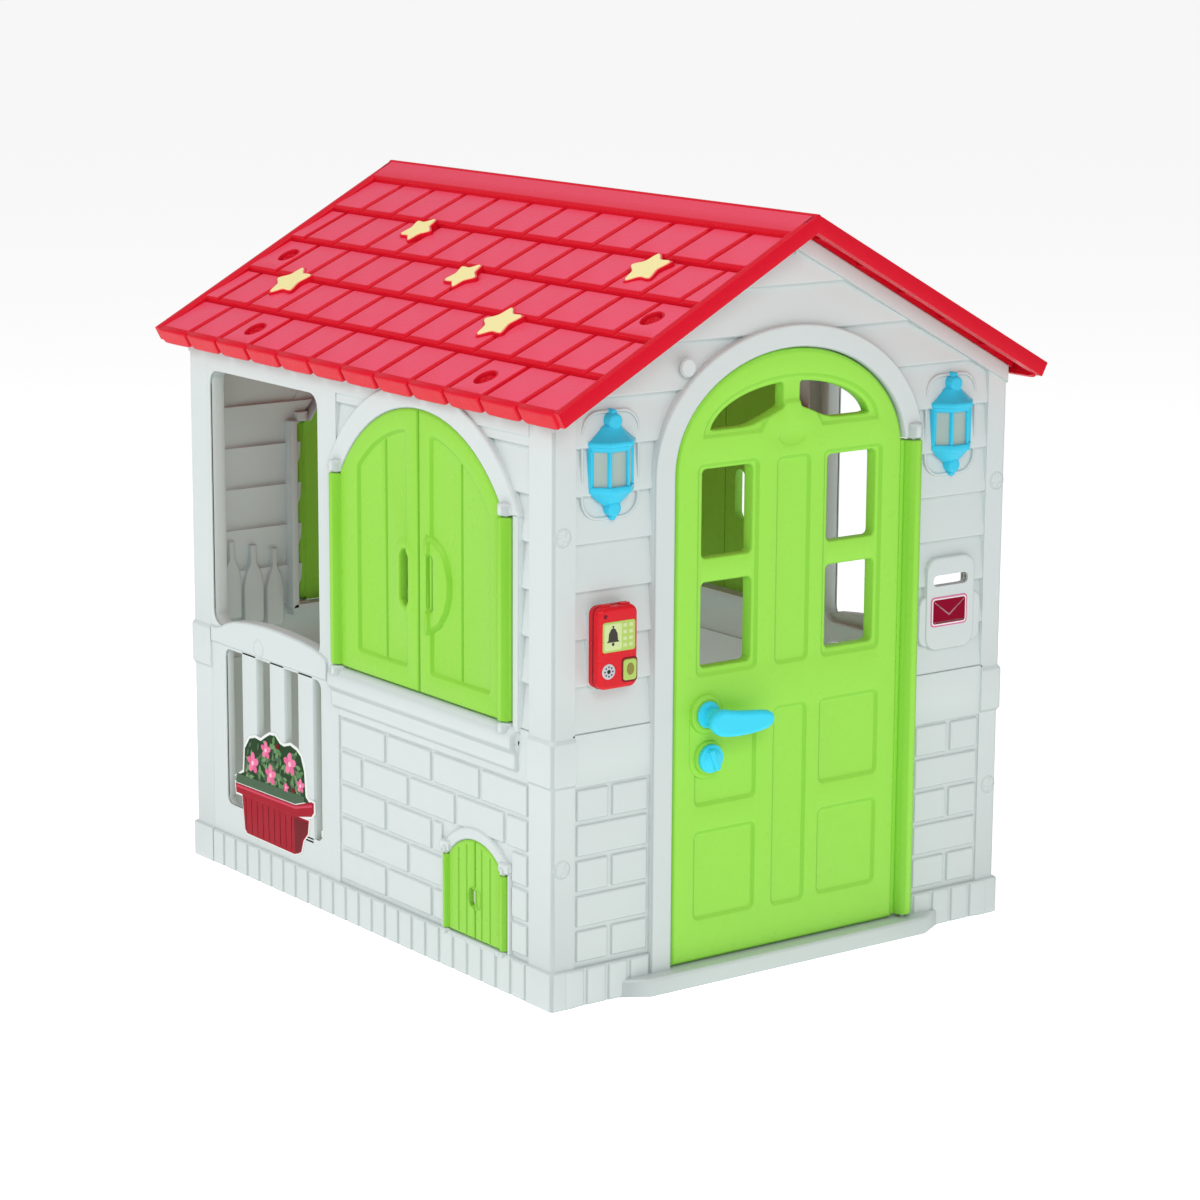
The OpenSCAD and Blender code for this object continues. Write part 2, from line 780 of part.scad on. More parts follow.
// ---- door ----------------------------------------------------------------

module door_windows_2d(g) {
    for (s = [-1, 1]) mirror([s < 0 ? 1 : 0, 0]) {
        round_rect(75 - g, 172 + g, 666 - g, 804 + g, 5 + g);
        round_rect(75 - g, 172 + g, 496 - g, 629 + g, 5 + g);
        fan_light_2d(g);
    }
}

// Quarter-round light beside the door's middle bar
module fan_light_2d(g) {
    a = 160 + g;
    b = 74 + g;
    foot = 862 - g;
    polygon(concat([for (t = [10:8:82]) [a * cos(t), 851 + b * sin(t)]],
        [[17 - g, 851 + b], [17 - g, foot + 20 + g]],
        [for (t = [80:-20:20]) [17 - g + 56 * cos(t) * (1 - g / 60), foot + 20 * sin(t)]],
        [[a * 0.97, foot]]));
}

module door_leaf() {
    axis_x = door_axis[0];
    z0 = step_h + leaf_gap;
    color(green) difference() {
        union() {
            plate(leaf_face, 0, skin + 0.5) leaf_2d(0);
            plate(leaf_face, 0, door_t) difference() { leaf_2d(0); leaf_2d(6); }
            plate(leaf_face, 0, door_t) door_windows_2d(6);
            plate(leaf_face, -2, 2) door_windows_2d(10);
            plate(leaf_face, -2, 2) for (s = [-1, 1]) {
                panel_ring(s * 124 - 62, s * 124 + 62, 277, 418);
                panel_ring(s * 124 - 62, s * 124 + 62, 95, 240);
            }
            plate(leaf_face, -2, 2) panel_ring(-32, 32, 92, 418);
            plate(leaf_face, -2, 2) panel_ring(-32, 32, 482, 812);
            plate(leaf_face, 0, door_t) rect(-60, 60, 442, 462);
            translate([handle_x, -leaf_face, handle_z]) rotate([90, 0, 0])
                translate([0, 0, -door_t]) cylinder(h = door_t + 6, r = 32);
            translate([handle_x + 5, -leaf_face, key_z]) rotate([90, 0, 0])
                translate([0, 0, -door_t]) cylinder(h = door_t + 6, r = 28);
            upright(axis_x, -door_axis[1], z0 + 3, door_top_pin_z, door_barrel_r);
            block(door_half - 10, axis_x, -leaf_face, -leaf_face + door_t - 5, z0 + 3,
                door_top_pin_z);
        }
        plate(leaf_face, -through, through) door_windows_2d(0);
        upright(axis_x, -door_axis[1], z0 - 1, z0 + 40, pin_r + run_gap);
        upright(axis_x, -door_axis[1], door_top_pin_z - 38, door_top_pin_z + 1,
            pin_r + run_gap);
        upright(axis_x, -door_axis[1], z0 + 60, door_top_pin_z - 60, 10);
        // clear of the upper knuckle
        upright(axis_x, -door_axis[1], door_top_pin_z, door_top_pin_z + 40,
            door_barrel_r + leaf_gap);
        for (p = [[handle_x, handle_z, handle_shaft_r], [handle_x + 5, key_z, key_shaft_r]])
            translate([p[0], -leaf_face - 10, p[1]]) rotate([-90, 0, 0])
                cylinder(h = 60, r = p[2] + run_gap);
    }
}

// Outline of the door leaf, shrunk by g
module leaf_2d(g) {
    a = door_half - leaf_gap - g;
    b = door_rise - leaf_gap - g;
    z0 = step_h + leaf_gap + g;
    polygon(concat([[a, z0]], [for (t = [0:6:180]) [a * cos(t), door_spring + b * sin(t)]],
        [[-a, z0]]));
}

module panel_ring(x0, x1, z0, z1) {
    difference() {
        round_rect(x0, x1, z0, z1, 6);
        round_rect(x0 + 5, x1 - 5, z0 + 5, z1 - 5, 3);
    }
}

module door_pins() {
    color("silver") {
        upright(door_axis[0], -door_axis[1], step_h - 13, step_h + 38, pin_r);
        upright(door_axis[0], -door_axis[1], door_top_pin_z - 34, door_top_pin_z + 22, pin_r);
    }
}

// Lever on a stub that reaches dir times outwards from the door face at y
module lever(y, dir) {
    boss = 26;
    translate([handle_x, y, handle_z]) rotate([dir * 90, 0, 0]) {
        cylinder(h = boss, r = 12);
        hull() {
            translate([0, 0, boss - 8]) sphere(r = 12, $fn = 32);
            translate([30, 0, boss]) sphere(r = 13, $fn = 32);
        }
        hull() {
            translate([30, 0, boss]) sphere(r = 13, $fn = 32);
            translate([102, 0, boss + 2]) sphere(r = 12, $fn = 32);
        }
    }
}

module handle_outer() {
    y = -leaf_face - 6 - seat_gap;
    color(cyan) {
        lever(y, 1);
        translate([handle_x, y - 1, handle_z]) rotate([-90, 0, 0])
            cylinder(h = door_t + 6 + 22, r = handle_shaft_r);
    }
}

module handle_inner() {
    y = -leaf_face + door_t + seat_gap;
    color(cyan) difference() {
        lever(y, -1);
        translate([handle_x, y - 1, handle_z]) rotate([-90, 0, 0])
            cylinder(h = 22, r = handle_shaft_r + run_gap);
    }
}

module lock_knob() {
    x = handle_x + 5;
    y = -leaf_face - 6 - seat_gap;
    color(cyan) translate([x, y, key_z]) rotate([90, 0, 0]) {
        cylinder(h = 6, r = 22);
        translate([0, 0, 6]) cylinder(h = 7, r1 = 20, r2 = 12);
        translate([-4, -17, 5]) cube([8, 34, 14]);
        mirror([0, 0, 1]) cylinder(h = door_t + 6 + 12, r = key_shaft_r);
    }
}

// Tongue on the inner end of the lock shaft
module lock_catch() {
    x = handle_x + 5;
    y = -leaf_face + door_t + seat_gap;
    catch_t = 5;
    catch_out = wall_t + leaf_proud - door_t + 0.6;    // past the back of the door stop
    catch_reach = door_half + x - 3;                   // far enough to hold behind it
    color(green) translate([x, y, key_z]) rotate([-90, 0, 0]) difference() {
        union() {
            cylinder(h = catch_out + catch_t, r = 14);
            translate([-9, 0, catch_out]) cube([18, catch_reach, catch_t]);
        }
        translate([0, 0, -1]) cylinder(h = 30, r = key_shaft_r + run_gap);
    }
}

// ---- shutters ------------------------------------------------------------

// Right-hand leaf about the window's middle; the left-hand one is its mirror
module shutter_leaf(d, grip) {
    face = d + shutter_proud;
    axis_y = -d - shutter_axis_out;
    z0 = shutter_z0 + 4;
    difference() {
        union() {
            plate(face, 0, skin) half_leaf_2d(0);
            plate(face, 0, shutter_t) difference() { half_leaf_2d(0); half_leaf_2d(6); }
            plate(face, -1.5, 1) difference() { half_leaf_2d(26); half_leaf_2d(30); }
            plate(face, 0, shutter_t) slot_2d(grip[0], grip[1], 44, 108);
            upright(shutter_half, axis_y, z0, shutter_shoulder, shutter_barrel_r);
            block(shutter_half - 16, shutter_half, -face, -face + shutter_t - 4, z0,
                shutter_shoulder);
            if (grip[2] > 0) plate(face, -4, 2) slot_2d(grip[0] + 8, grip[1], 60, 140);
        }
        if (grip[2] == 0) plate(face, -through, through) slot_2d(grip[0], grip[1], 27, 90);
        if (grip[2] > 0) plate(face, -through, 4) slot_2d(grip[0], grip[1], 22, 92);
        upright(shutter_half, axis_y, z0 - 1, z0 + 36, pin_r + run_gap);
        upright(shutter_half, axis_y, shutter_shoulder - 36, shutter_shoulder + 1,
            pin_r + run_gap);
        for (z = [[shutter_z0 - 1, z0], [shutter_shoulder, shutter_shoulder + 40]])
            upright(shutter_half, axis_y, z[0], z[1], shutter_barrel_r + leaf_gap);
    }
}

module half_leaf_2d(g) {
    x_in = 1 + g;
    intersection() {
        translate([0, shutter_arch_z]) circle(shutter_arch_r - g, $fn = 96);
        rect(x_in, shutter_half - 7.5 - g, shutter_shoulder - 1, shutter_top);
    }
    rect(x_in, shutter_half - 7.5 - g, shutter_z0 + 1 + g, shutter_shoulder);
}

// Grip place about the window's middle, then 0 for a finger hole, 1 for a raised grip
hole_grip = [42, 605, 0];
raised_grip = [32, 608, 1];

module shutter(d, u, turn, right) {
    color(green) rotate([0, 0, turn]) translate([u, 0, 0]) {
        if (right) shutter_leaf(d, raised_grip);
        else mirror([1, 0, 0]) shutter_leaf(d, hole_grip);
    }
}

module left_shutter_rear() { shutter(side_d, side_window_u, -90, false); }
module left_shutter_front() { shutter(side_d, side_window_u, -90, true); }
module right_shutter_front() { shutter(side_d, side_window_u, 90, false); }
module right_shutter_rear() { shutter(side_d, side_window_u, 90, true); }
module back_shutter_left() { shutter(end_d, 0, 180, false); }
module back_shutter_right() { shutter(end_d, 0, 180, true); }

module window_pins(d, u, turn) {
    color("silver") rotate([0, 0, turn]) translate([u, 0, 0]) for (s = [-1, 1]) {
        upright(s * shutter_half, -d - shutter_axis_out, shutter_z0 - 13, shutter_z0 + 36,
            pin_r);
        upright(s * shutter_half, -d - shutter_axis_out, shutter_shoulder - 32,
            shutter_shoulder + leaf_gap + 13, pin_r);
    }
}

module left_window_pins() { window_pins(side_d, side_window_u, -90); }
module right_window_pins() { window_pins(side_d, side_window_u, 90); }
module back_window_pins() { window_pins(end_d, 0, 180); }

// ---- pet door ------------------------------------------------------------

module pet_leaf(hole) {
    face = side_d + pet_proud;
    axis_y = -side_d - pet_axis_out;
    difference() {
        union() {
            plate(face, 0, 3) half_pet_2d(0);
            plate(face, 0, pet_t) difference() { half_pet_2d(0); half_pet_2d(3); }
            plate(face, 0, pet_t) intersection() {
                half_pet_2d(0);
                translate([0, 130]) circle(20);
            }
            upright(pet_half, axis_y, pet_z0 + 1, pet_shoulder - 1, pet_barrel_r);
            block(pet_half - 9, pet_half, -face, -face + pet_t - 2, pet_z0 + 1,
                pet_shoulder - 1);
        }
        if (hole) plate(face, -through, through) slot_2d(9, 130, 13, 30);
        for (z = [pet_z0, pet_shoulder - 21])
            upright(pet_half, axis_y, z, z + 21, pet_pin_r + run_gap);
        upright(pet_half, axis_y, pet_shoulder - 1, pet_shoulder + 20, pet_barrel_r + leaf_gap);
    }
}

module half_pet_2d(g) {
    x1 = pet_half - 5.5 - g;
    intersection() {
        translate([0, pet_arch_z]) circle(pet_arch_r - g);
        rect(0.8 + g, x1, pet_shoulder - 1, pet_arch_z + pet_arch_r);
    }
    rect(0.8 + g, x1, pet_z0 + g, pet_shoulder);
}

module pet_door(turn, right) {
    color(green) rotate([0, 0, turn]) translate([pet_u, 0, 0])
        mirror([right ? 0 : 1, 0, 0]) pet_leaf(!right);
}

module left_pet_leaf_rear() { pet_door(-90, false); }
module left_pet_leaf_front() { pet_door(-90, true); }
module right_pet_leaf_front() { pet_door(90, false); }
module right_pet_leaf_rear() { pet_door(90, true); }

module pet_pins(turn) {
    color("silver") rotate([0, 0, turn]) translate([pet_u, 0, 0]) for (s = [-1, 1]) {
        upright(s * pet_half, -side_d - pet_axis_out, pet_z0 - 9, pet_z0 + 19, pet_pin_r);
        upright(s * pet_half, -side_d - pet_axis_out, pet_shoulder - 19, pet_shoulder + 9,
            pet_pin_r);
    }
}

module left_pet_pins() { pet_pins(-90); }
module right_pet_pins() { pet_pins(90); }

// ---- lanterns, labels and planters ---------------------------------------

lantern_x = [-343, 332];
lantern_z = 826;

module lantern(x) {
    color(cyan) plate(end_d, -10, 1 - seat_gap) difference() {
        translate([x, lantern_z]) {
            polygon([[-30, -28], [-18, -48], [18, -48], [30, -28], [34, 34], [42, 40],
                [20, 56], [-20, 56], [-42, 40], [-34, 34]]);
            translate([0, -56]) circle(11);
            translate([0, -68]) circle(7);
            translate([0, 60]) circle(13);
            translate([0, 71]) circle(7);
        }
        lantern_panes_2d(x, 0.2);
    }
}

module lantern_panes_2d(x, g) {
    for (i = [-1:1]) translate([x + i * 18.5, lantern_z + 2])
        rect(-7 - g, 7 + g, -26 - g, 27 + g);
}

module lantern_left() { lantern(lantern_x[0]); }
module lantern_right() { lantern(lantern_x[1]); }

module lantern_panes() {
    color("lightgray") for (x = lantern_x) plate(end_d, -6, 1 - seat_gap) lantern_panes_2d(x, 0);
}

module mail_label() {
    color("crimson") plate(end_d, -4, -2.8)
        round_rect(mail_x - 38, mail_x + 38, 502, 551, 7);
}

// Flat flower planter clipped on the railing slats
module planter() {
    plate(side_d, -3, 0) difference() {
        union() {
            polygon([[-400, 172], [-388, 150], [-378, 84], [-330, 74], [-215, 74],
                [-166, 84], [-156, 150], [-145, 172], [-145, 186], [-400, 186]]);
            for (p = [[-352, 198, 22], [-318, 216, 30], [-272, 228, 34], [-226, 214, 30],
                [-192, 196, 22]]) translate([p[0], p[1]]) circle(p[2]);
            rect(-370, -176, 180, 205);
        }
    }
}

module planter_left() { color("firebrick") rotate([0, 0, -90]) planter(); }
module planter_right() { color("firebrick") rotate([0, 0, 90]) planter(); }

// ---- door bell -----------------------------------------------------------

bell_screw_z = [bell_z - bell_h / 2 + 9, bell_z + bell_h / 2 - 9];
bell_back_t = 3;
bell_wall = 2.2;
bell_travel = 2;
bell_back_q = 0.5;               // front and back of the pad moulded behind the bell
bell_pad_q = 1 + board_step + skin + 0.5;
bell_boss_r = 3.6;
bell_board_q = 12;

module bell_outline(g) {
    round_rect(bell_x - bell_w / 2 + g, bell_x + bell_w / 2 - g, bell_z - bell_h / 2 + g,
        bell_z + bell_h / 2 - g, 13 - g);
}

module bell_button_2d(g) {
    translate([bell_x + bell_button_at[0], bell_z + bell_button_at[1]])
        round_rect(-12 - g, 12 + g, -16 - g, 16 + g, 4);
}

module bell_case() {
    grille = [bell_x + bell_grille_at[0], bell_z + bell_grille_at[1]];
    color("crimson") difference() {
        union() {
            difference() {
                plate(end_d, -bell_d, -bell_back_t) bell_outline(0);
                plate(end_d, -bell_d + bell_wall, 0) bell_outline(bell_wall);
            }
            plate(end_d, -bell_d + 1, -bell_back_t) for (z = bell_screw_z)
                translate([bell_x, z]) circle(bell_boss_r);
            plate(end_d, -bell_d + 1, -bell_d + bell_board_q - seat_gap)
                for (x = [0, 27]) translate([bell_x + x, bell_z - 8]) circle(2.5);
        }
        plate(end_d, -through, 0) {
            bell_button_2d(0.3);
            translate(grille) circle(bell_grille_r + seat_gap);
        }
        for (z = bell_screw_z) plate(end_d, -bell_d + 6, 5) translate([bell_x, z])
            circle(1.5 + run_gap);
    }
}

module bell_back() {
    color("crimson") difference() {
        plate(end_d, -bell_back_t, bell_back_q) bell_outline(0);
        plate(end_d, -through, through) {
            rect(bell_x - 20, bell_x + 20, bell_z - 3, bell_z + 46);
            for (z = bell_screw_z) translate([bell_x, z]) circle(1.5 + run_gap);
        }
    }
}

module bell_button() {
    color("yellowgreen") {
        plate(end_d, -bell_d - 3, -bell_d + 6) bell_button_2d(0);
        plate(end_d, -bell_d + bell_wall + 0.2, -bell_d + 6) bell_button_2d(1.5);
    }
}

module bell_switch() {
    color("dimgray") plate(end_d, -bell_d + 6 + bell_travel + seat_gap, -bell_d + bell_board_q)
        translate([bell_x + bell_button_at[0], bell_z + bell_button_at[1]]) circle(4);
}

module bell_board() {
    color("seagreen") plate(end_d, -bell_d + bell_board_q, -bell_d + bell_board_q + 1.6)
        rect(bell_x - 4, bell_x + 31, bell_z - 47, bell_z - 4);
}

module bell_grille() {
    grille = [bell_x + bell_grille_at[0], bell_z + bell_grille_at[1]];
    color("gray") plate(end_d, -bell_d - 1.5, -bell_d + 3) difference() {
        translate(grille) circle(bell_grille_r);
        for (a = [0:60:300]) translate(grille) rotate(a) translate([7, 0]) circle(1.3);
        translate(grille) circle(1.3);
    }
}

module bell_speaker() {
    grille = [bell_x + bell_grille_at[0] + 1, -end_d, bell_z + bell_grille_at[1]];
    color("black") translate(grille) rotate([90, 0, 0]) {
        translate([0, 0, bell_d - 12]) cylinder(h = 8.7, r = 11.5);
        translate([0, 0, bell_back_t + 0.2]) cylinder(h = bell_d - 15, r = 8);
    }
}

module bell_label() {
    color("yellowgreen") plate(end_d, -bell_d - 1, -bell_d)
        round_rect(bell_x - 31, bell_x + 29, bell_z - 3, bell_z + 42, 5);
}

module bell_batteries() {
    cell_r = 5.25;
    color("silver") for (i = [-1:1]) translate([bell_x + i * 12,
        -end_d - bell_back_t - seat_gap - cell_r, bell_z - 1])
        cylinder(h = 44.5, r = cell_r);
}

module bell_battery_cover() {
    color("crimson") plate(end_d, -bell_back_t, bell_back_q)
        rect(bell_x - 20 + seat_gap, bell_x + 20 - seat_gap, bell_z - 3 + seat_gap,
            bell_z + 46 - seat_gap);
}

module bell_screws() {
    color("silver") for (z = bell_screw_z) translate([bell_x, -end_d + bell_pad_q + seat_gap, z])
        rotate([90, 0, 0]) {
            translate([0, 0, -2]) cylinder(h = 2, r = 3);
            cylinder(h = bell_pad_q + 18, r = 1.5);
        }
}

front_wall();
back_wall();
left_wall();
right_wall();
roof_left();
roof_right();
wall_screws();
roof_screws();
stars_left();
stars_right();
lantern_left();
lantern_right();
lantern_panes();
mail_label();
planter_left();
planter_right();
door_leaf();
door_pins();
handle_outer();
handle_inner();
lock_knob();
lock_catch();
left_shutter_rear();
left_shutter_front();
right_shutter_rear();
right_shutter_front();
back_shutter_left();
back_shutter_right();
left_window_pins();
right_window_pins();
back_window_pins();
left_pet_leaf_rear();
left_pet_leaf_front();
right_pet_leaf_rear();
right_pet_leaf_front();
left_pet_pins();
right_pet_pins();
bell_case();
bell_back();
bell_button();
bell_switch();
bell_grille();
bell_speaker();
bell_label();
bell_board();
bell_batteries();
bell_battery_cover();
bell_screws();
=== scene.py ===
import bpy
import math
import numpy as np
from mathutils import Matrix, Vector
from mathutils.geometry import delaunay_2d_cdt


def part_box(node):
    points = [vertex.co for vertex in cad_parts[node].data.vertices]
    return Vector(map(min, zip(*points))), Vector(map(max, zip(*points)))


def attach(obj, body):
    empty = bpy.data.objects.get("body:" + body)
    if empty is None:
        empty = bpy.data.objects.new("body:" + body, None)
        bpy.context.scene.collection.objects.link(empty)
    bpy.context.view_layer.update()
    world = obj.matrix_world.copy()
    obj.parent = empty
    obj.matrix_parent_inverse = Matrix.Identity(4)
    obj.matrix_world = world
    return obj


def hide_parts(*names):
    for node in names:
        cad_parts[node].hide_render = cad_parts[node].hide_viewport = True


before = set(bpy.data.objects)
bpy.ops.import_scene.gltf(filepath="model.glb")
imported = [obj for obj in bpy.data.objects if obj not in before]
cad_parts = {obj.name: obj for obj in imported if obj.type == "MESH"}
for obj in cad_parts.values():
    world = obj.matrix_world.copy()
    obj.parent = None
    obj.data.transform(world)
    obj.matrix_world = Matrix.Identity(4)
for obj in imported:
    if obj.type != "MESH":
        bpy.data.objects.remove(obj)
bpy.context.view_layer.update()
print("stage 1: frame loaded")

# the house's own sizes, in millimetres
house = {"endDepth": 531, "sideDepth": 450, "brickTop": 342, "bandTop": 424, "board": 72,
         "boardLean": 8, "skin": 4, "ridge": 1183.5, "slope": 28.5, "seatRidge": 1158.1,
         "screwX": 432, "screwZ": (220, 727)}
slopeRad = math.radians(house["slope"])
slopeCos, slopeSin, slopeTan = math.cos(slopeRad), math.sin(slopeRad), math.tan(slopeRad)


def seatZ(x):
    return house["seatRidge"] - abs(x) * slopeTan


# outlines: each takes g, how far it is grown outwards
def arcPoints(cx, cz, rx, rz, a0, a1, n):
    return [(cx + rx * math.cos(math.radians(a0 + (a1 - a0) * i / n)),
             cz + rz * math.sin(math.radians(a0 + (a1 - a0) * i / n))) for i in range(n + 1)]


def roundRect(x0, x1, z0, z1, r, n=5):
    def outline(g):
        rr = max(r + g, 0.25)
        a, b, c, d = x0 - g + rr, x1 + g - rr, z0 - g + rr, z1 + g - rr
        return (arcPoints(b, d, rr, rr, 0, 90, n) + arcPoints(a, d, rr, rr, 90, 180, n)
                + arcPoints(a, c, rr, rr, 180, 270, n) + arcPoints(b, c, rr, rr, 270, 360, n))
    return outline


def disc(cx, cz, r, n=32):
    return lambda g: arcPoints(cx, cz, r + g, r + g, 0, 360, n)[:-1]


def oval(cx, cz, rx, rz, n=28):
    return lambda g: arcPoints(cx, cz, rx + g, rz + g, 0, 360, n)[:-1]


def freeShape(points):
    p = np.array(points, float)
    area = np.sum(p[:, 0] * np.roll(p[:, 1], -1) - np.roll(p[:, 0], -1) * p[:, 1])
    if area < 0:
        p = p[::-1]

    def outline(g):
        a = p - np.roll(p, 1, 0)
        b = np.roll(p, -1, 0) - p
        na = np.stack([a[:, 1], -a[:, 0]], 1) / np.linalg.norm(a, axis=1)[:, None]
        nb = np.stack([b[:, 1], -b[:, 0]], 1) / np.linalg.norm(b, axis=1)[:, None]
        m = na + nb
        m /= np.maximum(np.sum(m * na, 1), 0.35)[:, None]
        return [tuple(q) for q in p + m * g]
    return outline


def starShape(cx, cz, r, tip, n=4):
    pts = []
    for i in range(10):
        k = r if i % 2 == 0 else r * 0.56
        a = math.radians(tip + i * 36)
        pts.append((cx + k * math.cos(a), cz + k * math.sin(a)))
    out = []
    for i in range(10):      # rounded tips and throats
        a, b, c = np.array(pts[i - 1]), np.array(pts[i]), np.array(pts[(i + 1) % 10])
        s = 0.34 if i % 2 == 0 else 0.2
        for t in np.linspace(0, 1, n):
            p = b + (a - b) * s
            q = b + (c - b) * s
            out.append(tuple((1 - t) ** 2 * p + 2 * t * (1 - t) * b + t * t * q))
    return freeShape(out)


def doorArch(half, spring, rise, foot, n=36):
    def outline(g):
        a, b = half + g, rise + g * 0.9
        return [(a, foot - g)] + arcPoints(0, spring, a, b, 0, 180, n) + [(-a, foot - g)]
    return outline


def windowArch(half, shoulder, arcZ, arcR, foot, n=26):
    def outline(g):
        r, side = arcR + g, half + g
        t = math.degrees(math.acos(min(side / r, 1)))
        low = arcZ + r * math.sin(math.radians(t))
        arc = arcPoints(0, arcZ, r, r, t, 180 - t, n)
        return [(side, foot - g), (side, min(low - 0.5, shoulder))] + arc + \
               [(-side, min(low - 0.5, shoulder)), (-side, foot - g)]
    return outline


def moved(shape, dx):
    return lambda g: [(x + dx, z) for x, z in shape(g)]


def handed(shape, s, middle):     # drawn for the right-hand leaf, mirrored for the left one
    if s > 0:
        return moved(shape, middle)
    return lambda g: [(middle - x, z) for x, z in shape(g)][::-1]


def spun(points, x, z, angle):
    c, s = math.cos(angle), math.sin(angle)
    return [(x + c * u - s * w, z + s * u + c * w) for u, w in points]


def turnsOf(n):
    return np.linspace(0, 2 * math.pi, n, endpoint=False)


def span(s, a, b, middle=0):
    return sorted((middle + s * a, middle + s * b))


def level(q):
    return lambda p: np.full(len(p), float(q))


# where a drawing in (across, depth, up) lands in the house
def onWall(side, extra=0):
    d = (house["endDepth"] if side in ("front", "back") else house["sideDepth"]) + extra
    turn = math.radians({"front": 0, "back": 180, "left": -90, "right": 90}[side])
    c, s = round(math.cos(turn)), round(math.sin(turn))
    return lambda p: np.stack([c * p[:, 0] - s * (p[:, 1] - d), s * p[:, 0] + c * (p[:, 1] - d),
                               p[:, 2]], 1)


def onSlope(side):
    eave = house["ridge"] - 480 * slopeTan
    k = 1 if side == "left" else -1
    return lambda p: np.stack([k * (-480 + p[:, 2] * slopeCos + p[:, 1] * slopeSin), -k * p[:, 0],
                               eave + p[:, 2] * slopeSin - p[:, 1] * slopeCos], 1)


def inHouse(p):
    return p


# a piece collects closed shells and becomes one mesh
class Piece:
    def __init__(self, name, place):
        self.name, self.place = name, place
        self.verts, self.faces, self.paint, self.count = [], [], [], 0

    def shell(self, verts, faces, paint=0, place=None):
        v = (place or self.place)(np.asarray(verts, float))
        tri = np.array([(f[0], f[i], f[i + 1]) for f in faces for i in range(1, len(f) - 1)])
        a, b, c = v[tri[:, 0]], v[tri[:, 1]], v[tri[:, 2]]
        if np.sum(np.cross(a - v[0], b - v[0]) * (c - v[0])) < 0:
            faces = [tuple(reversed(f)) for f in faces]
        self.verts.append(v)
        self.faces += [tuple(int(i) + self.count for i in f) for f in faces]
        self.paint += [paint] * len(faces)
        self.count += len(v)

    def loft(self, loops, ring=False, closed=True, paint=0, place=None):
        n, m = len(loops[0]), len(loops)
        faces = []
        for j in range(m if ring else m - 1):
            k = (j + 1) % m
            for i in range(n if closed else n - 1):
                h = (i + 1) % n
                faces.append((j * n + i, j * n + h, k * n + h, k * n + i))
        if not ring:
            faces.append(tuple(range(n))[::-1])
            faces.append(tuple((m - 1) * n + i for i in range(n)))
        elif not closed:
            faces.append(tuple(j * n for j in range(m)))
            faces.append(tuple(j * n + n - 1 for j in reversed(range(m))))
        self.shell([p for loop in loops for p in loop], faces, paint, place)

    def section(self, shape, prof, ring=False, closed=True, paint=0, place=None):
        self.loft([[(x, q, z) for x, z in shape(g)] for g, q in prof], ring, closed, paint, place)

    def pad(self, shape, back, front, soft=2.0, paint=0, place=None):
        s = soft
        self.section(shape, [(0, back), (0, front + s), (-0.15 * s, front + 0.5 * s),
                             (-0.5 * s, front + 0.14 * s), (-s, front), (-s - 1.2, front)],
                     paint=paint, place=place)

    def bead(self, shape, q, w, h, closed=True, paint=0, place=None):
        prof = [(w / 2 * math.cos(t), q - h * math.sin(t)) for t in np.linspace(0, math.pi, 7)]
        self.section(shape, [(w / 2, q + 1)] + prof + [(-w / 2, q + 1)], ring=True,
                     closed=closed, paint=paint, place=place)

    def block(self, lo, hi, r=1.5, paint=0, place=None):
        x0, y0, z0 = lo
        x1, y1, z1 = hi
        shape = roundRect(x0, x1, z0, z1, r, 3)
        self.section(shape, [(-r, y1), (-0.3 * r, y1 - 0.3 * r), (0, y1 - r), (0, y0 + r),
                             (-0.3 * r, y0 + 0.3 * r), (-r, y0)], paint=paint, place=place)

    def barrel(self, x, y, z0, z1, r, soft=1.5, n=28, paint=0, place=None):
        prof = [(r - soft, z0), (r - 0.3 * soft, z0 + 0.3 * soft), (r, z0 + soft),
                (r, z1 - soft), (r - 0.3 * soft, z1 - 0.3 * soft), (r - soft, z1)]
        self.loft([[(x + k * math.cos(t), y + k * math.sin(t), z) for t in turnsOf(n)]
                   for k, z in prof], paint=paint, place=place)

    def knob(self, x, z, prof, n=32, paint=0):
        self.loft([[(x + r * math.cos(t), q, z + r * math.sin(t)) for t in turnsOf(n)]
                   for r, q in prof], paint=paint)

    # one closed plate between two surfaces: the front from height, the back from back or thick
    def sheet(self, outer, holes, lines, height, thick=0, paint=0, place=None, back=None):
        pts, edges = [], []

        def path(points, closed):
            first = len(pts)
            pts.extend(Vector((float(x), float(z))) for x, z in points)
            last = len(pts) - 1
            edges.extend((i, i + 1) for i in range(first, last))
            if closed:
                edges.append((last, first))
        for p in [outer] + holes:
            path(p, True)
        for p, closed in lines:
            path(p, closed)
        flat, _, tris, *_ = delaunay_2d_cdt(pts, edges, [], 0, 1e-3)
        flat = np.array([(p.x, p.y) for p in flat])
        tris = np.array([t for t in tris if len(t) == 3])
        mid = flat[tris].mean(1)
        keep = inside(mid, outer)
        for h in holes:
            keep &= ~inside(mid, h)
        tris = tris[keep]
        used, tris = np.unique(tris, return_inverse=True)
        tris = tris.reshape(-1, 3)
        flat = flat[used]
        q = height(flat)
        qb = q + thick if back is None else back(flat)
        n = len(flat)
        verts = np.vstack([np.stack([flat[:, 0], q, flat[:, 1]], 1),
                           np.stack([flat[:, 0], qb, flat[:, 1]], 1)])
        count = {}
        for a, b, c in tris:
            for e in ((a, b), (b, c), (c, a)):
                count[e] = count.get(e, 0) + 1
        rim = [e for e in count if (e[1], e[0]) not in count]
        faces = [tuple(t) for t in tris] + [(c + n, b + n, a + n) for a, b, c in tris]
        faces += [(b, a, a + n, b + n) for a, b in rim]
        self.shell(verts, faces, paint, place)

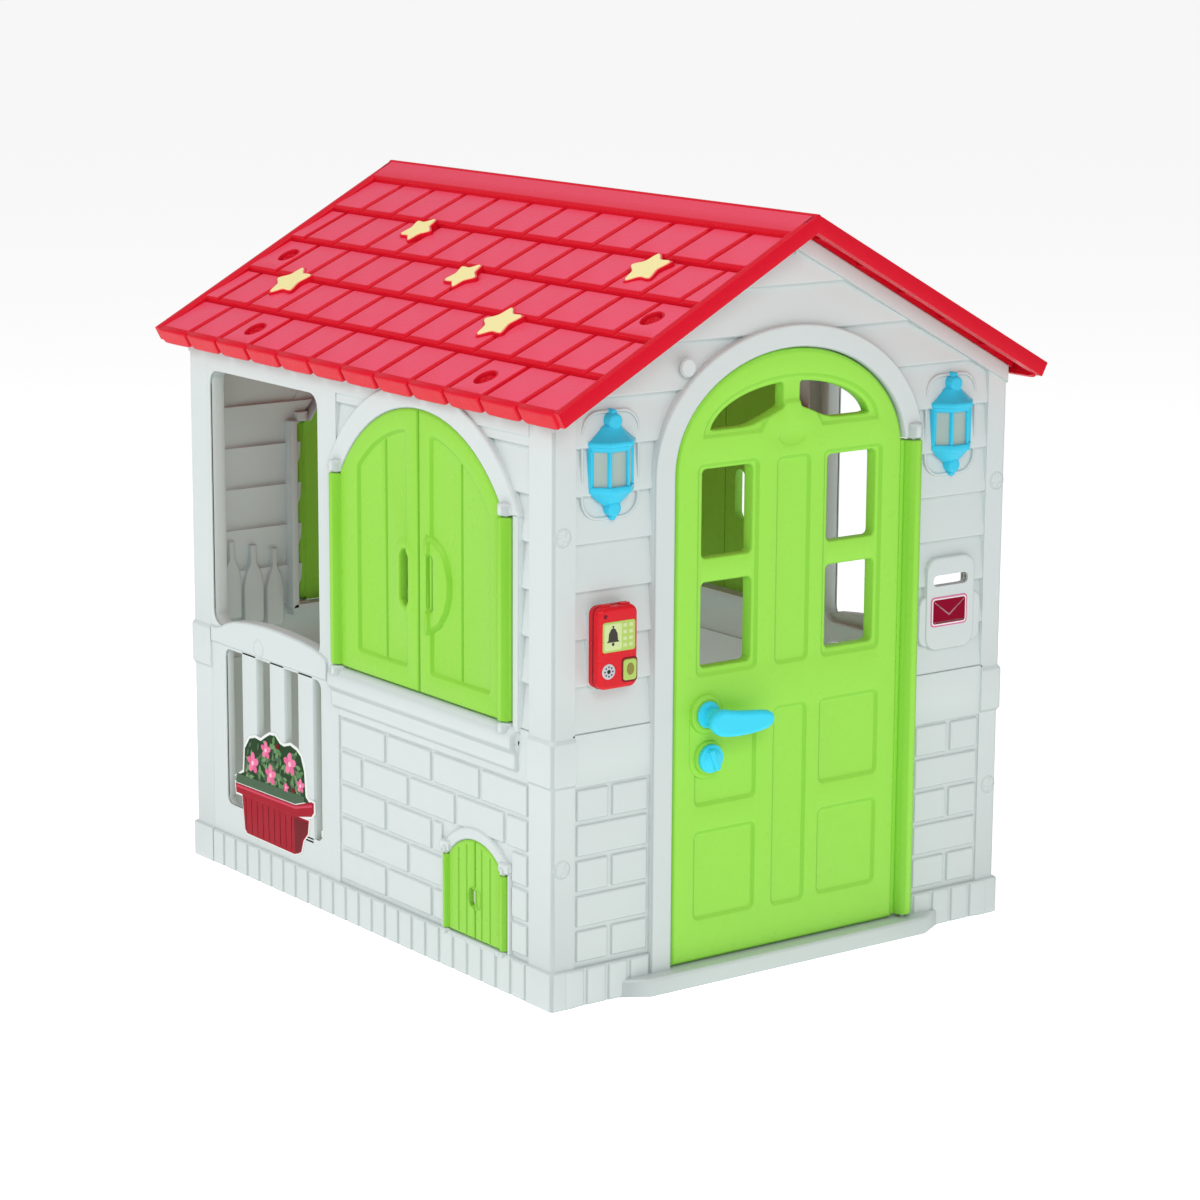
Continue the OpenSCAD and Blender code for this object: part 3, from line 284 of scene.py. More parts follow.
    def build(self, body, slot, mats, replaces=(), sharp=38):
        mesh = bpy.data.meshes.new(self.name)
        v = np.vstack(self.verts) * 0.001
        mesh.from_pydata(v.tolist(), [], self.faces)
        mesh.polygons.foreach_set("material_index", self.paint)
        mesh.polygons.foreach_set("use_smooth", [True] * len(mesh.polygons))
        mesh.update()
        mesh.set_sharp_from_angle(angle=math.radians(sharp))
        for m in mats:
            mesh.materials.append(m)
        obj = bpy.data.objects.new(self.name, mesh)
        bpy.context.scene.collection.objects.link(obj)
        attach(obj, body)
        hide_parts(*replaces)
        print("  piece", self.name, len(mesh.polygons), "faces")
        return obj


def inside(p, poly):
    poly = np.asarray(poly, float)
    a, b = poly, np.roll(poly, -1, 0)
    res = np.zeros(len(p), bool)
    for (x0, z0), (x1, z1) in zip(a, b):
        cross = (z0 > p[:, 1]) != (z1 > p[:, 1])
        if z1 != z0:
            res ^= cross & (p[:, 0] < (x1 - x0) * (p[:, 1] - z0) / (z1 - z0) + x0)
    return res


def distanceTo(p, poly):
    # signed distance, negative inside
    poly = np.asarray(poly, float)
    a, b = poly, np.roll(poly, -1, 0)
    best = np.full(len(p), 1e9)
    for s, e in zip(a, b):
        d = e - s
        t = np.clip(((p - s) @ d) / max(d @ d, 1e-12), 0, 1)
        best = np.minimum(best, np.linalg.norm(p - (s + t[:, None] * d), axis=1))
    return np.where(inside(p, poly), -best, best)


class Relief:
    # a surface whose depth is a base plus soft steps along outlines

    def __init__(self, base):
        self.base, self.marks, self.lines = base, [], []

    def mark(self, shape, steps):      # steps: (distance outside the outline, added depth)
        self.marks.append((shape(0), [s for s, _ in steps], [d for _, d in steps]))
        self.lines += [(shape(s), True) for s, _ in steps]

    def height(self, p):
        q = self.base(p)
        for poly, s, d in self.marks:
            q = q + np.interp(distanceTo(p, poly), s, d)
        return q


# repeating parts grown by geometry nodes; a group's sockets come from its plain values
def newGroup(name, kind, inputs, outputs):
    tree = bpy.data.node_groups.new(name, kind)
    kinds = {int: "Int", float: "Float", type(None): "Material"}
    for label, value in inputs.items():
        typeName = kinds.get(type(value)) or ("Vector" if len(value) == 3 else "Color")
        s = tree.interface.new_socket(label, in_out="INPUT", socket_type="NodeSocket" + typeName)
        if value is not None:
            s.default_value = value
    for label, typeName in outputs.items():
        tree.interface.new_socket(label, in_out="OUTPUT", socket_type="NodeSocket" + typeName)
    return tree, tree.nodes.new("NodeGroupInput").outputs, tree.nodes.new("NodeGroupOutput").inputs


def put(tree, kind, values=(), **props):
    node = tree.nodes.new(kind)
    for k, v in props.items():
        setattr(node, k, v)
    for k, v in dict(values).items():
        if isinstance(v, bpy.types.NodeSocket):
            tree.links.new(v, node.inputs[k])
        else:
            node.inputs[k].default_value = v
    return node


def finishTree(tree, geometry, gi, go):
    real = put(tree, "GeometryNodeRealizeInstances", {"Geometry": geometry})
    painted = put(tree, "GeometryNodeSetMaterial", {"Geometry": real.outputs[0],
                                                   "Material": gi["Material"]})
    tree.links.new(painted.outputs[0], go["Geometry"])


def grow(tree, values):
    mesh = bpy.data.meshes.new(tree.name)
    obj = bpy.data.objects.new(tree.name, mesh)
    bpy.context.scene.collection.objects.link(obj)
    mod = obj.modifiers.new("grow", "NODES")
    mod.node_group = tree
    for item in tree.interface.items_tree:
        if item.in_out == "INPUT" and item.name in values:
            mod[item.identifier] = values[item.name]
    bpy.context.view_layer.update()
    done = bpy.data.meshes.new_from_object(obj.evaluated_get(bpy.context.evaluated_depsgraph_get()))
    bpy.data.objects.remove(obj)
    v = np.array([p.co for p in done.vertices])
    f = [tuple(p.vertices) for p in done.polygons]
    bpy.data.meshes.remove(done)
    return v, f


def calc(tree, operation, a, b=None):
    values = {0: a} if b is None else {0: a, 1: b}
    return put(tree, "ShaderNodeMath", values, operation=operation).outputs[0]


def combine(tree, **parts):
    return put(tree, "ShaderNodeCombineXYZ", parts).outputs[0]


# a raised block with rounded corners and a softened front, its front towards +Z
def softBlock(tree, gi):
    edge = gi["Edge"]
    box = put(tree, "GeometryNodeCurvePrimitiveQuadrilateral",
              {k: gi[k] for k in ("Width", "Height")})
    corners = put(tree, "GeometryNodeFilletCurve", {"Curve": box.outputs[0], "Count": 3,
                                                   "Radius": edge}, mode="POLY")
    face = put(tree, "GeometryNodeFillCurve", {"Curve": corners.outputs[0]}, mode="NGONS")
    side = put(tree, "GeometryNodeExtrudeMesh", {
        "Mesh": face.outputs[0], "Offset Scale": calc(tree, "SUBTRACT", gi["Depth"], edge)})
    mesh, top = side.outputs["Mesh"], side.outputs["Top"]
    for inset, rise in ((0.55, 0.6), (0.5, 0.3), (0.6, 0.1)):      # shares of the edge radius
        cap = put(tree, "GeometryNodeExtrudeMesh", {
            "Mesh": mesh, "Selection": top, "Offset Scale": calc(tree, "MULTIPLY", edge, rise)})
        drawIn = calc(tree, "MULTIPLY", edge, -inset)
        position = tree.nodes.new("GeometryNodeInputPosition")
        parts = put(tree, "ShaderNodeSeparateXYZ", {0: position.outputs[0]})
        inward = {axis: calc(tree, "MULTIPLY", calc(tree, "SIGN", parts.outputs[axis]), drawIn)
                  for axis in ("X", "Y")}
        drawn = put(tree, "GeometryNodeSetPosition", {
            "Geometry": cap.outputs["Mesh"], "Selection": cap.outputs["Top"],
            "Offset": combine(tree, **inward)})
        mesh, top = drawn.outputs[0], cap.outputs["Top"]
    under = put(tree, "GeometryNodeFlipFaces", {"Mesh": face.outputs[0]})
    join = tree.nodes.new("GeometryNodeJoinGeometry")
    tree.links.new(mesh, join.inputs[0])
    tree.links.new(under.outputs[0], join.inputs[0])
    return put(tree, "GeometryNodeMergeByDistance", {"Geometry": join.outputs[0],
                                                    "Distance": 0.01}).outputs[0]


blockInputs = {"Width": 36.0, "Height": 50.0, "Depth": 3.0, "Edge": 1.5, "Material": None}
boardTree, gi, go = newGroup("boardRow", "GeometryNodeTree",
                             {"Count": 10, "Pitch": 39.0, **blockInputs}, {"Geometry": "Geometry"})
line = put(boardTree, "GeometryNodeMeshLine", {
    "Count": gi["Count"], "Offset": combine(boardTree, X=gi["Pitch"])})
boards = put(boardTree, "GeometryNodeInstanceOnPoints", {
    "Points": line.outputs[0], "Instance": softBlock(boardTree, gi)})
finishTree(boardTree, boards.outputs[0], gi, go)

tileTree, gi, go = newGroup("tileField", "GeometryNodeTree",
                            {"Columns": 13, "Rows": 5, "Pitch": 96.5, "Row height": 98.4,
                             "Lean": 0.08, **blockInputs}, {"Geometry": "Geometry"})
along = put(tileTree, "GeometryNodeMeshLine", {
    "Count": gi["Columns"], "Offset": combine(tileTree, X=gi["Pitch"])})
upwards = put(tileTree, "GeometryNodeMeshLine", {
    "Count": gi["Rows"], "Offset": combine(tileTree, Y=gi["Row height"])})
oneRow = put(tileTree, "GeometryNodeInstanceOnPoints", {
    "Points": along.outputs[0], "Instance": softBlock(tileTree, gi),
    "Rotation": combine(tileTree, X=gi["Lean"])})
field = put(tileTree, "GeometryNodeInstanceOnPoints", {
    "Points": upwards.outputs[0], "Instance": oneRow.outputs[0]})
finishTree(tileTree, field.outputs[0], gi, go)
print("stage 2: node trees ready")


# the shuttered windows and the pet doors, shared by the walls and the leaves
window = {"middle": 181, "half": 228, "shoulder": 745, "archZ": 612, "archR": 264, "foot": 426}
petDoor = {"middle": 330, "half": 72.5, "archZ": 129, "archR": 93, "foot": 64, "axis": 78}
windowHole = windowArch(*(window[k] for k in ("half", "shoulder", "archZ", "archR", "foot")))
petHole = windowArch(72, 186, petDoor["archZ"], petDoor["archR"], petDoor["foot"])


# wall parts
def boardDepth(z):
    t = np.mod(z - house["bandTop"] + 0.1, house["board"]) - 0.1
    lean = house["boardLean"] * np.clip(t, 0, 72) / 72
    boards = 1 + lean + 1.8 * np.clip(1 - t / 4, 0, 1) ** 2
    flat = np.interp(z, [341.8, 342, 343.5], [3, 0.9, 0])
    return np.where(z < house["bandTop"] - 0.2, flat, boards)


def boardLines(x0, x1, top):
    zs = [341.8, 342, 342.6, 343.5]
    z = house["bandTop"]
    while z < top:
        zs += [z - 0.25, z, z + 1.2, z + 2.4, z + 4]
        z += house["board"]
    return [([(x0, z), (x1, z)], False) for z in zs]


def brickWork(piece, x0, x1, joints, gap=None):
    rowH = 55.2
    for row in range(5):
        z0 = house["brickTop"] - (row + 1) * rowH
        marks = [x0] + joints[row % 2] + [x1]
        for a, b in zip(marks, marks[1:]):
            spans = [(a + 3.2, b - 3.2)]
            if gap and row >= 2:
                spans = [(max(a + 3.2, lo), min(b - 3.2, hi)) for lo, hi in
                         ((x0, gap[0]), (gap[1], x1))]
            for p, q in spans:
                if q - p > 9:
                    piece.pad(roundRect(p, q, z0 + 3, z0 + rowH - 3.4, 3, 3), 4, -0.3, 2.8)


def cornerPost(piece, s):
    def plan(p, z, r=7):      # p: how far it stands proud, r: the outer corner's radius
        arc = [(450 + p - r + r * math.cos(t), -p + r + r * math.sin(t))
               for t in np.linspace(-math.pi / 2, 0, 7)]
        pts = [(409, 4.7), (409, -p), (440, -p)] + arc + [(450 + p, 14), (450 + p, 61), (446, 61),
                                                        (446, 8), (442, 4.7)]
        return [(s * u, q, z) for u, q in pts]
    steps = [(4.2, 0), (5.5, 1.2), (5.5, 57), (5, 59), (3.4, 60.2), (0.6, 60.8), (0, 62), (0, 343),
             (0.4, 344.5), (2.6, 347.5), (3.4, 349), (3.6, 351), (3.6, 412), (3.4, 414.5),
             (2.6, 416.5), (0.4, 419.5), (0, 421), (0, 500), (0, 912)]
    piece.loft([plan(p, z) for p, z in steps])
    piece.block((s * 412 if s < 0 else 408, 3, 1), (s * 408 if s < 0 else 412, 28, seatZ(410)), 1)


def plinthBoards(piece, x0, x1):
    count = max(1, round((x1 - x0) / 39))
    pitch = (x1 - x0) / count
    piece.block((x0, -3.2, 0.5), (x1, 3.1, 60), 1.5)
    v, f = grow(boardTree, {"Count": count, "Pitch": pitch, "Width": pitch - 4.4, "Height": 59.0,
                            "Depth": 3.2, "Edge": 2.1})
    piece.shell(np.stack([v[:, 0] + x0 + pitch / 2, -2.8 - v[:, 2], v[:, 1] + 30.2], 1), f)


def rakeRim(piece):
    def chevron(g):
        w = 28.4
        k = g * 1.1
        xs = 449.5 + min(g, 0)
        return [(xs, seatZ(xs) - w - k), (xs, seatZ(xs) + k), (0, seatZ(0) + k),
                (-xs, seatZ(xs) + k), (-xs, seatZ(xs) - w - k), (0, seatZ(0) - w - k)]
    piece.section(chevron, [(0, 27), (0, -0.6), (-0.4, -2), (-1.2, -2.8), (-2.5, -3), (-4, -3)])


def bandArch(arcZ, arcR, endZ, n=30):
    def outline(g):
        r = arcR + g
        t = math.degrees(math.asin((endZ - arcZ) / r))
        return arcPoints(0, arcZ, r, r, t, 180 - t, n)
    return outline


def trimProfile(width, proud, depth):
    p = proud
    return [(width, 8), (width, -p + 3.5), (width - 0.5, -p + 1.5), (width - 1.6, -p + 0.4),
            (width - 3.5, -p), (width - 5, -p), (5, -p), (3.5, -p), (1.6, -p + 0.5), (0.5, -p + 1.6),
            (0, -p + 3.6), (0, depth), (3.5, depth), (3.5, 4), (width - 4, 8)]


def shutteredWindow(piece, u, half=236):
    top = bandArch(window["archZ"], window["archR"], 749)
    piece.section(moved(top, u), trimProfile(39, 5, 28), ring=True, closed=False)
    for s in (-1, 1):
        x0, x1 = span(s, 252, 267, u)
        piece.block((x0, -5, 418), (x1, 27, 752), 2.2)
        for z0, z1 in ((413, 430), (747, 766)):
            piece.barrel(u + s * half, -4, z0, z1, 14, 3.5)
            b0, b1 = span(s, half - 9, half + 14, u)
            piece.block((b0, -4, z0 + 1), (b1, 20, z1 - 1), 1.5)
    sec = [(27, 425.6), (1, 426), (-3, 425.6), (-7, 423.6), (-10.5, 419.5), (-13, 413), (-14, 405),
           (-14, 396), (-13.2, 391.5), (-10.5, 387.5), (-7.5, 384.5), (-6.2, 381), (-6, 376),
           (-6, 363), (-5, 358.5), (-2.5, 355), (1, 353.6), (3, 354), (3, 414), (27, 416)]
    loops = []
    for x, k, c in ((-264, 0.35, 8), (-263.2, 0.7, 4), (-260.5, 0.92, 1.2), (-256, 1, 0),
                    (256, 1, 0), (260.5, 0.92, 1.2), (263.2, 0.7, 4), (264, 0.35, 8)):
        loops.append([(u + x, 4 + (q - 4) * (k if q < 4 else 1),
                       z - c if z > 400 else z + c) for q, z in sec])
    piece.loft(loops)


letterSlot = roundRect(299, 373, 567, 585, 8)


def endWall(side):
    piece = Piece(side + "_wall_skin", onWall(side))
    top = seatZ(0)
    outer = [(-412, 1), (412, 1), (412, seatZ(412) - 1), (0, top - 1), (-412, seatZ(412) - 1)]
    relief = Relief(lambda p: boardDepth(p[:, 1]))
    relief.lines += boardLines(-413, 413, top)
    if side == "front":
        doorway = doorArch(228, 800, 178, 2)
        holes = [doorway(24), letterSlot(0)]
        for x in (-72, -28, 4):
            relief.mark(roundRect(x, x + 5, 1119, 1135, 1.5, 2), [(-1, 2.2), (0.4, 0)])
    else:
        holes = [windowHole(10)]
    piece.sheet(outer, holes, relief.lines, relief.height, house["skin"])
    for s in (-1, 1):
        cornerPost(piece, s)
    rakeRim(piece)
    if side == "front":
        for s in (-1, 1):
            brickWork(piece, *span(s, 268, 408), [[s * 342], []])
            plinthBoards(piece, *span(s, 268, 432))
        frontDetails(piece)
    else:
        brickWork(piece, -408, 408, [[-272, -137, 0, 137, 272], [-340, -205, -68, 68, 205, 340]])
        plinthBoards(piece, -432, 432)
        shutteredWindow(piece, 0)
        for x, r in ((0, 9.4), (43, 8.6), (-43, 8.2)):     # bottles moulded on the inner face
            bottle = freeShape([(x + 338 + a * r, b + x * 0.25) for a, b in
                                ((-2, 402), (2, 402), (2.2, 408), (2.2, 470), (1.6, 492), (0.7, 508),
                                 (0.7, 540), (-0.7, 540), (-0.7, 508), (-1.6, 492), (-2.2, 470),
                                 (-2.2, 408))])
            piece.section(bottle, [(0, 5), (0, 14.5), (-1, 16), (-2.6, 16.6)])
    return piece


def frontDetails(piece):
    def trim(g):       # round the arch, then down the latch side to the ground
        a, b = 228 + g, 178 + g * 0.9
        t = math.degrees(math.asin(17 / b))
        return arcPoints(0, 800, a, b, t, 180, 40) + [(-a, 790), (-a, 400), (-a, 2)]
    piece.section(trim, trimProfile(39, 7, 28), ring=True, closed=False)
    piece.block((263.5, -2, 26), (269, 27, 822), 1.2)
    piece.pad(disc(-207, 963, 13.5), -5, -8.6, 1.6)
    piece.bead(disc(-207, 963, 13.8), -6.9, 2, 0.5)
    piece.barrel(247, -3, 815, 839, 15, 4)
    piece.block((238, -2, 816), (262, 27, 838), 2)
    piece.block((-230, 22, 28), (-220, 28, 800), 1)
    # doorstep, with a soft upper edge
    step = freeShape([(-335, -529), (-285, -561), (276, -561), (335, -529), (275, -503),
                      (-275, -503)])
    piece.loft([[(x, y, z) for x, y in step(g)] for g, z in
                ((-1, 0), (0, 1), (0, 23), (-0.7, 25.6), (-2, 27.3), (-4, 28), (-6, 28))],
               place=inHouse)
    # letter plate: two nested shapes, a slot and its rim
    piece.pad(roundRect(270, 402, 470, 552, 18), 8, -1.4, 2.4)
    plate = Relief(level(-2.8))
    edge = roundRect(284, 388, 462, 614, 24)
    plate.mark(edge, [(-4.5, 0), (-2.2, 0.15), (-0.8, 0.8), (0, 2.2)])
    piece.sheet(edge(0), [letterSlot(0)], plate.lines, plate.height, back=level(9))
    # pad behind the door bell
    piece.pad(roundRect(-387, -309, 490, 620, 17), 9, 0.5, 1.6)
    # wave in the moulding round each lantern
    for x in (-343, 332):
        piece.bead(roundRect(x - 52, x + 52, 748, 908, 30), 4.2, 5, 1.4)


def sideWall(side):
    piece = Piece(side + "_wall_skin", onWall(side))
    outer = [(-469.6, 1), (469.6, 1), (469.6, 912), (-469.6, 912)]
    relief = Relief(lambda p: np.where(p[:, 0] < -64.8, 0, boardDepth(p[:, 1])))
    relief.lines += boardLines(-64.5, 471, 912)
    relief.lines += [([(-65.2, -5), (-65.2, 920)], False), ([(-64.5, -5), (-64.5, 920)], False)]
    openWin = roundRect(-462, -120, 425, 862, 24)
    railGap = roundRect(-425, -118, 115, 388, 14)
    pet = petDoor["middle"]
    holes = [openWin(0), railGap(0), moved(windowHole, window["middle"])(10), moved(petHole, pet)(6)]
    piece.sheet(outer, holes, relief.lines, relief.height, house["skin"])
    for shape, depth in ((openWin, 28), (railGap, 17)):
        piece.section(shape, [(6, 1), (6, depth - 1), (5, depth), (0.6, depth), (0, depth - 1),
                              (0, 2.2), (0.5, 0.9), (1.5, 0.2), (3, -0.05), (5, -0.05)], ring=True)
    piece.block((-71, 1, 66), (-65.5, 28, 862), 1)
    # top rail with its wavy upper edge
    piece.pad(freeShape([(-469, 392), (-97, 392), (-95, 421), (-99, 429), (-118, 436), (-140, 441),
                         (-180, 445.5), (-240, 449), (-292, 449.5), (-345, 446.5), (-392, 440),
                         (-418, 433), (-436, 425), (-450, 421.5), (-469, 421)]), 18, -3.6, 4)
    piece.bead(disc(-310, 408, 15), -3.5, 3, 0.7)
    v, f = grow(boardTree, {"Count": 3, "Pitch": 90.0, "Width": 52.0, "Height": 296.0,
                            "Depth": 12.0, "Edge": 3.0})
    piece.shell(np.stack([v[:, 0] - 347, 12 - v[:, 2], v[:, 1] + 250], 1), f)
    brickWork(piece, -62, 468, [[75, 207, 340], [5, 140, 273, 407]], gap=(236, 424))
    plinthBoards(piece, -469.5, 469.5)
    shutteredWindow(piece, window["middle"])
    # pet door frame
    piece.section(moved(bandArch(petDoor["archZ"], petDoor["archR"], 188, 18), pet),
                  trimProfile(20, 3, 18), ring=True, closed=False)
    for s in (-1, 1):
        x0, x1 = span(s, 87, 93, pet)
        piece.block((x0, -3, 58), (x1, 17, 190), 1.4)
        for z0, z1 in ((55, 64), (187, 198)):
            piece.barrel(pet + s * petDoor["axis"], -2, z0, z1, 7, 2)
            b0, b1 = span(s, 73.5, 85, pet)
            piece.block((b0, -2, z0 + 0.5), (b1, 14, z1 - 0.5), 1)
        piece.pad(roundRect(*span(s, 66, 95, pet), 189, 206, 6), 4, -6.5, 3)
    piece.block((pet - 96, -5, 52), (pet + 96, 14, 61.5), 2)
    # beam that carries the roof half
    sec = [(-0.7, 872), (-0.7, 913), (44, 913 + 44 * slopeTan), (44, 907), (39, 903), (5, 903),
           (5, 872)]
    piece.loft([[(x, q, z) for q, z in sec] for x in (-469.6, 469.6)])
    return piece


# roof
roof = {"half": 588, "row": 98.44, "pitch": 96.5, "tileWidth": 88, "tileEdge": 3.8,
        "step": 8, "screws": [(-515, 248), (515, 248), (-335, 48), (335, 48)],
        "stars": [(-262, 366, 36, 0), (-403, 178, 43, 180), (-3, 268, 36, 0), (220, 172, 43, 180),
                  (380, 358, 43, 180)]}


def tileDepth(v):
    return roof["step"] * np.clip(np.mod(v + 0.15, roof["row"]) - 0.15, 0, 98.2) / roof["row"]


def roofTiles(piece):
    row, pitch = roof["row"], roof["pitch"]
    lean = math.atan(roof["step"] / row)
    near = lambda h, v, gap: any(math.hypot(h - a, v - b) < gap for a, b in roof["screws"])
    common = {"Row height": 2 * row, "Lean": -lean, "Pitch": pitch,
              "Width": float(roof["tileWidth"]), "Height": row, "Depth": 9.0,
              "Edge": roof["tileEdge"]}
    for columns, rows, h0, v0 in ((12, 3, -5.5 * pitch, 0.5 * row), (11, 2, -5 * pitch, 1.5 * row)):
        v, f = grow(tileTree, {"Columns": columns, "Rows": rows, **common})
        per = len(v) // (columns * rows)
        v = np.stack([v[:, 0] + h0, 13 - v[:, 2], v[:, 1] + v0], 1)
        groups = {}
        for face in f:
            groups.setdefault(face[0] // per, []).append([i % per for i in face])
        for k, faces in groups.items():
            part = v[k * per:(k + 1) * per]
            mid = part.mean(0)
            if near(mid[0], mid[2], 62):
                box = roundRect(mid[0] - 44, mid[0] + 44, mid[2] - row / 2, mid[2] + row / 2 - 0.4, 3)
                screw = min(roof["screws"], key=lambda s: math.hypot(mid[0] - s[0], mid[2] - s[1]))
                cut = disc(screw[0], screw[1], 19)
                top = Relief(lambda p: tileDepth(p[:, 1]))
                top.mark(box, [(-5.3, 0), (-3.5, 0.35), (-1.8, 1.3), (-0.4, 3.2), (0, 4.5)])
                piece.sheet(box(0), [cut(0)], top.lines, top.height, 5)
            else:
                piece.shell(part, faces)
    for k in (1, 3):                       # half tiles at the ends of the odd rows
        for s in (-1, 1):
            a, b = span(s, 5.5 * pitch + 3.2, 578)
            place = lambda p, k=k: piece.place(
                np.stack([p[:, 0], p[:, 1] + tileDepth(k * row + p[:, 2]), p[:, 2] + k * row], 1))
            piece.pad(roundRect(a, b, 0.5, row - 0.5, 3), 9, 0, 4.5, place=place)


def roofSkin(piece):
    row = roof["row"]
    base = Relief(lambda p: 4.6 + tileDepth(p[:, 1]))
    for k in range(1, 6):
        base.lines += [([(-590, k * row - 0.3), (590, k * row - 0.3)], False),
                       ([(-590, k * row), (590, k * row)], False)]
    piece.sheet([(-584, 1), (584, 1), (584, 538), (-584, 538)],
                [disc(h, v, 20)(0) for h, v in roof["screws"]], base.lines, base.height, 6, paint=1)
    for h, v in roof["screws"]:
        piece.knob(h, v, [(21, 17), (21, 4.4), (20.4, 3.7), (19.4, 3.5), (18.5, 4.0), (18, 5.4),
                          (17.6, 12), (0.4, 12)], paint=1)
    # eave board with a tab under each tile
    half = roof["half"]
    piece.loft([[(h, q, v) for q, v in ((24, 7), (24, 1), (23, 0), (1.6, 0), (0.4, 0.6), (0, 2),
                                        (0, 7))] for h in (-half, half)], paint=1)
    eave = lambda p: piece.place(np.stack([p[:, 0], -p[:, 2], p[:, 1]], 1))
    for k in range(12):
        h = (k - 5.5) * roof["pitch"]
        piece.pad(freeShape([(h - 45.4, -1), (h - 44.6, -22), (h - 40, -27.4), (h - 34, -28.6),
                             (h, -29), (h + 34, -28.6), (h + 40, -27.4), (h + 44.6, -22),
                             (h + 45.4, -1), (h + 42, 0.4), (h - 42, 0.4)]), 5, -5.5, 3.4, paint=1,
                  place=eave)
    # rake boards, a little wider than the tiles' ends
    for s in (-1, 1):
        sec = [(24, 570), (2.6, 571), (0.4, 573.5), (-0.7, 576), (-1, 578.5), (-1, 585.5),
               (-0.4, 587.4), (1, 588.4), (23, 588.4), (24, 587.5)]
        loops = []
        for v in (-2.4, 545.6):
            loops.append([(s * h, q, min(v, (480 - q * slopeSin) / slopeCos)) for q, h in sec])
        piece.loft(loops, paint=1)
        a, b = span(s, 503, 531)
        piece.block((a, 12, 12), (b, 22, 532), 1, paint=1)
    for h in (-300, 0, 300):
        piece.block((h - 2, 10, 8), (h + 2, 18, 534), 0.6, paint=1)
    # cap along the ridge
    sec = [(15, 489), (2.6, 490.2), (0.8, 491), (-0.3, 493), (-0.8, 497), (-1, 520), (-1, 546),
           (15, 537.5)]
    piece.loft([[(h, q, v) for q, v in sec] for h in (-586, 586)])


def fillRoof(side):
    piece = Piece("roof_" + side + "_half", onSlope(side))
    roofTiles(piece)
    roofSkin(piece)
    for h, v, r, tip in roof["stars"]:
        piece.pad(starShape(h, v, r + 5, tip), 12, -0.9, 1.2)
    if side == "left":                     # lip over the seam
        piece.loft([[(5.5 * math.cos(t) - 0.5, y, house["ridge"] - 4 + 5.2 * math.sin(t))
                     for t in turnsOf(16)] for y in (-587, 587)], paint=1, place=inHouse)
    return piece


def starBadges(side):
    piece = Piece("star_badges_" + side, onSlope(side))
    for h, v, r, tip in roof["stars"]:
        piece.pad(starShape(h, v, r, tip), -0.6, -3.4, 1.3)
    return piece


# screw heads with a cross recess
screw = {"wallRadius": 16, "roofRadius": 13, "armLong": 10.5, "armWide": 2.5}


def crossShape(x, z, turn):
    a, b = screw["armLong"], screw["armWide"]
    pts = [(a, -b), (a, b), (b, b), (b, a), (-b, a), (-b, b), (-a, b), (-a, -b), (-b, -b), (-b, -a),
           (b, -a), (b, -b)]
    return freeShape(spun(pts, x, z, turn))


def screwHead(piece, x, z, r, q0, turn, place=None):
    top = Relief(level(q0))
    edge = disc(x, z, r)
    top.mark(edge, [(-4.8, 0), (-3.9, 1.2), (-3.1, 1.2), (-2.3, 0), (-1.2, 0.3), (-0.3, 1.2),
                    (0, 2.4)])
    top.mark(crossShape(x, z, turn), [(-1.4, 3.2), (-0.3, 2.6), (0.7, 0)])
    piece.sheet(edge(0), [], top.lines, top.height, place=place, back=level(q0 + 4))
    piece.barrel(x, 0, q0 + 3, q0 + 16, 5, 0.8, 16,
                 place=lambda p: (place or piece.place)(np.stack([p[:, 0], p[:, 2],
                                                                  z + p[:, 1]], 1)))


def wallScrews():
    piece = Piece("wall_screw_heads", onWall("front"))
    for k, side in enumerate(("front", "back")):
        for s in (-1, 1):
            for j, z in enumerate(house["screwZ"]):
                screwHead(piece, s * house["screwX"], z, screw["wallRadius"], -0.6,
                          0.5 + 0.8 * (2 * j + k) + s, onWall(side))
    return piece


def roofScrews():
    piece = Piece("roof_screw_heads", onSlope("left"))
    for k, side in enumerate(("left", "right")):
        for j, (h, v) in enumerate(roof["screws"]):
            screwHead(piece, h, v, screw["roofRadius"], 7.5, 0.3 + 0.7 * j + k, onSlope(side))
    return piece


# lanterns
lantern = {"places": {"left": -343, "right": 332}}


def lanternRing(x, z, half, front, proud, back=6):
    half, proud = half * 0.94, proud * 1.42
    return [(x - half, back, z), (x - half, -0.5, z), (x - front, -proud, z), (x + front, -proud, z),
            (x + half, -0.5, z), (x + half, back, z)]


